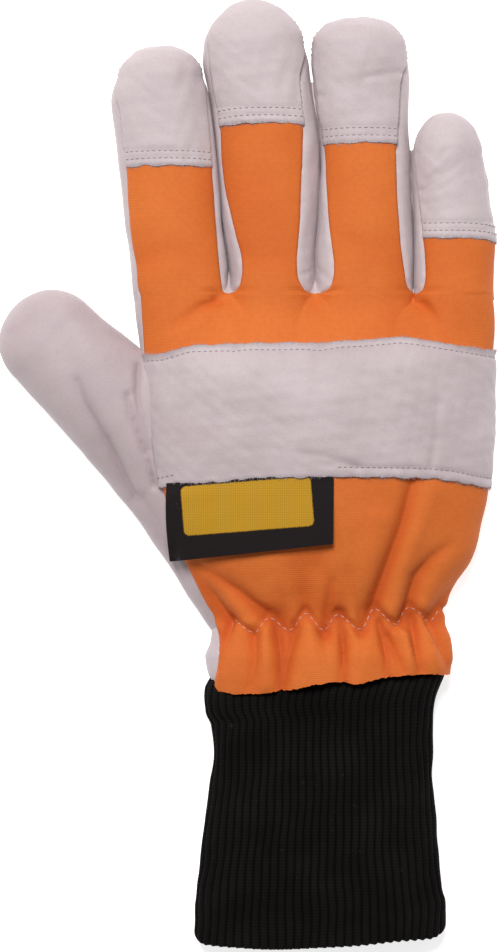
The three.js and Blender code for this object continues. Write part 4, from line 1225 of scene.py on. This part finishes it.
def labelPlace(across, along):
    top, foot = (
        [mix(a, b, across) for a, b in zip(labelCorners[end + "Left"], labelCorners[end + "Right"])]
        for end in ("top", "foot")
    )
    x, y = (mix(a, b, along) for a, b in zip(foot, top))
    x = x - label["bowed"] * np.sin(np.pi * along) * (1 - across) ** 2
    # stiff cloth bends less than the hand under it
    stiff = mix(handHeight(np.clip(x, -24, 200), y), handHeight(x * 0.75 + 2, y), label["stiffness"])
    free = np.maximum(stiff, handHeight(x, y)) + label["lift"] + label["flare"] * (1 - along) ** 1.6
    z = mix(free, handHeight(x, y) + label["sewn"], ease(label["under"], 1.0, along))
    points = np.stack([x, y, z], -1)
    points[:, 2] += slack(points)
    return points


labelPiece = shapedSheet("label_cloth", label["columns"], label["rows"], labelPlace)
thicken(labelPiece, label["wall"])
finishPiece(labelPiece, wovenLabel, ["label"], 40)
print("label made")

# knit cuff: y, left side, right side, height
cuffRows = [
    (-59.4, -10.7, 62.6, 17.0), (-63.7, -12.6, 64.6, 18.5), (-67.7, -14.5, 64.9, 20.6),
    (-71.6, -14.8, 63.6, 21.4), (-75.9, -14.3, 62.1, 20.6), (-80.9, -12.0, 61.1, 19.2),
    (-87.5, -12.0, 60.8, 18.6), (-95.7, -12.3, 61.0, 18.2), (-107.2, -13.6, 61.9, 18.0),
    (-120.5, -15.1, 62.9, 17.8), (-133.7, -16.3, 63.9, 17.6), (-146.8, -17.6, 65.1, 17.2),
    (-156.8, -18.2, 65.2, 16.8),
]
cuffLine = smoothTable(cuffRows)
cuff = {
    "ribs": 64, "perRib": 8, "rows": 96, "depth": 0.95, "wall": 2.4, "waist": 0.45, "squareness": 2.4,
    "pressed": 1.05, "top": -59.7, "foot": -156.1, "insideTop": -74.2, "outer": 0.68, "turn": 0.76,
    "evenAt": -120.5, "steps": 4001, "end": -156.4, "tilt": 0.07, "middle": 25.3,
}
cuffEnd = smoothTable([
    (-19.2, -148.8), (-17.3, -151.5), (-14.6, -153.7), (-4.4, -154.6), (8.8, -155.2), (23.7, -154.6),
    (36.5, -153.9), (50.1, -152.5), (60.6, -151.7), (63.9, -149.8), (66.2, -147.2),
])


def cuffPoint(angle, y):
    left, right, height = (readTable(cuffLine, y, c) for c in (1, 2, 3))
    x = (left + right) / 2 + (right - left) / 2 * ringAcross(angle, cuff["squareness"])
    z = ringHeight(angle, height, height * cuff["waist"], cuff["squareness"], 1, cuff["pressed"])
    return stacked(x, y + 0 * x, z)


# angles at even steps of the way round the cuff
def evenAngles(count):
    angles = np.linspace(0, 2 * np.pi, count - 1)
    way = wayAlong(cuffPoint(angles, np.full_like(angles, cuff["evenAt"])))
    return np.interp(np.linspace(0, way[-1], count), way, angles)


cuffAngles = evenAngles(cuff["steps"])


# the knit goes down outside to the foot, curls round it, and goes up again inside
def cuffPlace(across, along):
    turned = 2 * np.pi * across
    wobble = 0.0014 * np.sin(along * 19 + turned) + 0.001 * np.sin(along * 41 + 5 * turned)
    angle = np.interp(np.mod(across + wobble, 1.0), np.linspace(0, 1, cuff["steps"]), cuffAngles)
    outer, turn = cuff["outer"], cuff["turn"]
    y = np.where(along < outer, mix(cuff["top"], cuff["foot"], along / outer), cuff["foot"])
    y = np.where(along > turn, mix(cuff["foot"], cuff["insideTop"], (along - turn) / (1 - turn)), y)
    curl = np.clip((along - outer) / (turn - outer), 0, 1) * np.pi
    inward = cuff["wall"] * (1 - np.cos(curl)) / 2
    sinks = np.sin(curl) * cuff["wall"] * 0.55
    points, out = raised(cuffPoint, angle, np.maximum(y, cuffLine[0][0] + 0.1), -inward)
    rib = np.abs(np.sin(np.pi * cuff["ribs"] * across))
    groove = cuff["depth"] * (1 - rib**0.7) * np.where(along > turn, 0.6, 1.0)
    groove = groove * mix(1, 0.6, bell(along - 0.05, 0.06))
    swell = 0.28 * leatherSwells(points) + 0.16 * broadSwells(points)
    points = points + out * (swell - groove)[:, None]
    nearEnd = ease(-127.1, cuff["foot"], y)
    serration = (0.35 * (rib**0.6) + 0.15 * np.sin(across * 411)) * nearEnd
    points[:, 1] += (readTable(cuffEnd, points[:, 0], 1) - cuff["end"]) * nearEnd - sinks - serration
    points[:, 1] += (points[:, 0] - cuff["middle"]) * cuff["tilt"] * ease(-94.1, -71.0, y)
    return aboveFloor(points)


cuffPiece = shapedSheet("knit_cuff_ribbed", cuff["ribs"] * cuff["perRib"], cuff["rows"], cuffPlace)
weld(cuffPiece, 0.00001)
finishPiece(cuffPiece, blackKnit, ["knit_cuff"], 60)
print("cuff made", len(cuffPiece.data.polygons), "faces")

# stitches
stitch = {"long": 1.2, "pitch": 1.9, "thick": 0.3}
elasticStitch = {"long": 1.7, "pitch": 2.5, "thick": 0.27}
seamStitch = {"long": 0.8, "pitch": 1.9, "thick": 0.3}


def oneStitch():
    deselect()
    bpy.ops.mesh.primitive_uv_sphere_add(segments=8, ring_count=6, radius=0.5, location=(0, 0, 0))
    piece = bpy.context.object
    piece.name = "one_stitch"
    for vertex in piece.data.vertices:
        x, y, z = vertex.co
        vertex.co = (z, y * (1.0 - 0.2 * abs(z)), x - 0.55 * z * z)  # its ends dip into the leather
    return piece


# a copy of a small model at a place, along three axes
def setCopy(model, shape, here, axes):
    copy = model.copy()
    copy.data = model.data.copy()
    bpy.context.collection.objects.link(copy)
    copy.data.vertices.foreach_set("co", ((here + shape @ np.array(axes)) * mm).ravel())
    return copy


def sewAlong(model, paths, name, material, size=stitch):
    shape, placed = meshPoints(model), []
    for points, normals in paths:
        way = wayAlong(points)
        count = max(1, int(way[-1] / size["pitch"]))
        for i in range(count):
            at = (i + 0.5) / count * way[-1]
            along = unit(placeAt(at + 0.6, way, points) - placeAt(at - 0.6, way, points))
            side = unit(np.cross(placeAt(at, way, normals), along))
            stretch = size["long"] * dice.uniform(0.9, 1.08)
            axes = [along * stretch, side * size["thick"], np.cross(along, side) * size["thick"]]
            placed.append(setCopy(model, shape, placeAt(at, way, points), axes))
    return finishPiece(join(placed, name), material, [], 60)


# points on a sheet and its outward directions there, a little above it
def onSheet(shape, across, along, rise, steps):
    here = shape(across, along)
    up = unit(np.cross(shape(across + steps[0], along) - here, shape(across, along + steps[1]) - here))
    return here + up * rise, up


def capPaths():
    across = np.linspace(0.06, 0.94, 60)
    for name in fingerNames:
        straight = fingerLines[name][0][-1] - capRows[name]["edge"][1]
        for gap in stitchGaps:
            along = np.full_like(across, gap / straight * cap["straight"])
            yield onSheet(capPlace(name), across, along, 0.12, (0.01, 0.01))


# the seams that close the caps' sides
def sidePaths():
    along = np.linspace(0.1, 0.93, 80)
    for name in fingerNames:
        for side in (0.028, 0.972) if name != "little" else (0.028,):
            yield onSheet(capPlace(name), np.full_like(along, side), along, 0.06, (0.004, 0.004))


def bandPaths():
    length = 43.0
    top, foot = 1 - bandStitchGaps["top"] / length, bandStitchGaps["foot"] / length
    for start, end, row in ((0.02, 0.965, top), (0.42, 0.965, foot), (0.02, 0.10, foot)):
        across = np.linspace(start, end, 200)
        yield onSheet(bandPlace, across, np.full_like(across, row), 0.12, (0.004, 0.01))


def elasticPath():
    points = np.array(zigzag[1:-1])
    fine = np.concatenate([np.linspace(points[i], points[i + 1], 14)[:-1] for i in range(len(points) - 1)])
    window = np.ones(9) / 9
    x, y = (np.convolve(np.pad(column, 4, mode="edge"), window, "valid") for column in fine.T)
    points, out = raised(handPoint, handAngle(x, y), y, np.full_like(x, fabric["lift"]))
    press = pressOf(gathers, points[:, 0], points[:, 1])
    points = points + out * (slack(points) - press)[:, None]
    up = np.tile([0.0, 0.0, 1.0], (len(points), 1))
    return [(points + up * 0.1, up)]


# short fibres that stand out of the cut edges
nap = {"long": 1.0, "thick": 0.13, "pitch": 0.33}


def oneFibre():
    deselect()
    bpy.ops.mesh.primitive_cone_add(vertices=4, radius1=0.5, radius2=0.15, depth=1, location=(0, 0, 0))
    piece = bpy.context.object
    piece.name = "one_fibre"
    return piece


def napAlong(model, edges, name, material):
    shape, placed = meshPoints(model), []
    for points, away, up in edges:
        way = wayAlong(points)
        for at in np.arange(0.2, way[-1], nap["pitch"]):
            spot = at + dice.uniform(-0.2, 0.2)
            here, outwards, over = (placeAt(spot, way, values) for values in (points, away, up))
            lead = outwards * dice.uniform(0.2, 1.0) + over * dice.normal(0, 0.3)
            lead = unit(lead + np.cross(outwards, over) * dice.normal(0, 0.7))
            side = unit(np.cross(lead, over + 0.01))
            here = here + over * dice.uniform(-0.7, 0.0) - lead * 0.15
            reach = lead * nap["long"] * dice.uniform(0.5, 1.4)
            axes = [side * nap["thick"], np.cross(side, lead) * nap["thick"], reach]
            placed.append(setCopy(model, shape, here + reach / 2, axes))
    return finishPiece(join(placed, name), material, [], 60)


def cutEdge(shape, start, end, edge, inner):
    across = np.linspace(start, end, 240)
    along = np.full_like(across, edge)
    here = shape(across, along)
    away = unit(here - shape(across, np.full_like(across, inner)))
    up = unit(np.cross(shape(across + 0.003, along) - here, -away if edge < 0.5 else away))
    return here, away, up


cutEdges = [cutEdge(capPlace(name), 0.03, 0.97, 0.0, 0.03) for name in fingerNames]
cutEdges += [cutEdge(bandPlace, 0.012, 0.98, 0.0, 0.02), cutEdge(bandPlace, 0.012, 0.98, 1.0, 0.98)]
fibreModel = oneFibre()
napAlong(fibreModel, cutEdges, "cut_edge_fibres", rawNap)
bpy.data.objects.remove(fibreModel, do_unlink=True)
print("cut edges made")

stitchModel = oneStitch()
sewAlong(stitchModel, capPaths(), "cap_stitches", greyThread)
sewAlong(stitchModel, bandPaths(), "band_stitches", greyThread)
sewAlong(stitchModel, elasticPath(), "elastic_stitches", paleThread, elasticStitch)
sewAlong(stitchModel, sidePaths(), "side_seam_stitches", seamThread, seamStitch)
bpy.data.objects.remove(stitchModel, do_unlink=True)
print("stitches made")

# camera, light and floor
studio = {"distance": 2.6, "plane": 0.011, "frameLength": 952 * 0.33 * mm, "middle": (0.6 * mm, -0.3 * mm)}
cameraData = bpy.data.cameras.new("camera")
camera = bpy.data.objects.new("camera", cameraData)
bpy.context.collection.objects.link(camera)
cameraData.sensor_width = 36
cameraData.lens = 36 * studio["distance"] / studio["frameLength"]
camera.location = (*studio["middle"], studio["distance"] + studio["plane"])
bpy.context.scene.camera = camera

deselect()
bpy.ops.mesh.primitive_plane_add(size=6, location=(0, 0, 0))
floor = bpy.context.object
floor.name = "floor"
floorFinish = Finish("paleFloor")
floorLook = {
    "Base Color": (0.93, 0.93, 0.93), "Emission Color": white, "Emission Strength": 0.7, "Roughness": 0.9,
}
for key, value in floorLook.items():
    floorFinish.feed(floorFinish.shader.inputs[key], value)
floor.data.materials.append(floorFinish.material)

world = bpy.data.worlds.new("studio")
bpy.context.scene.world = world
world.use_nodes = True
background = world.node_tree.nodes["Background"].inputs
background["Color"].default_value, background["Strength"].default_value = (*white, 1), 0.22


def softLight(name, size, power, place, target=(0.02, 0, 0)):
    data = bpy.data.lights.new(name, "AREA")
    data.shape, data.size, data.size_y, data.energy = "RECTANGLE", size[0], size[1], power
    lamp = bpy.data.objects.new(name, data)
    bpy.context.collection.objects.link(lamp)
    lamp.location = place
    lamp.rotation_euler = (Vector(target) - Vector(place)).to_track_quat("-Z", "Y").to_euler()
    return lamp


softLight("keyLight", (0.8, 0.8), 51, (-0.2, 1.0, 2.0))
bpy.context.scene.view_settings.view_transform = "Standard"
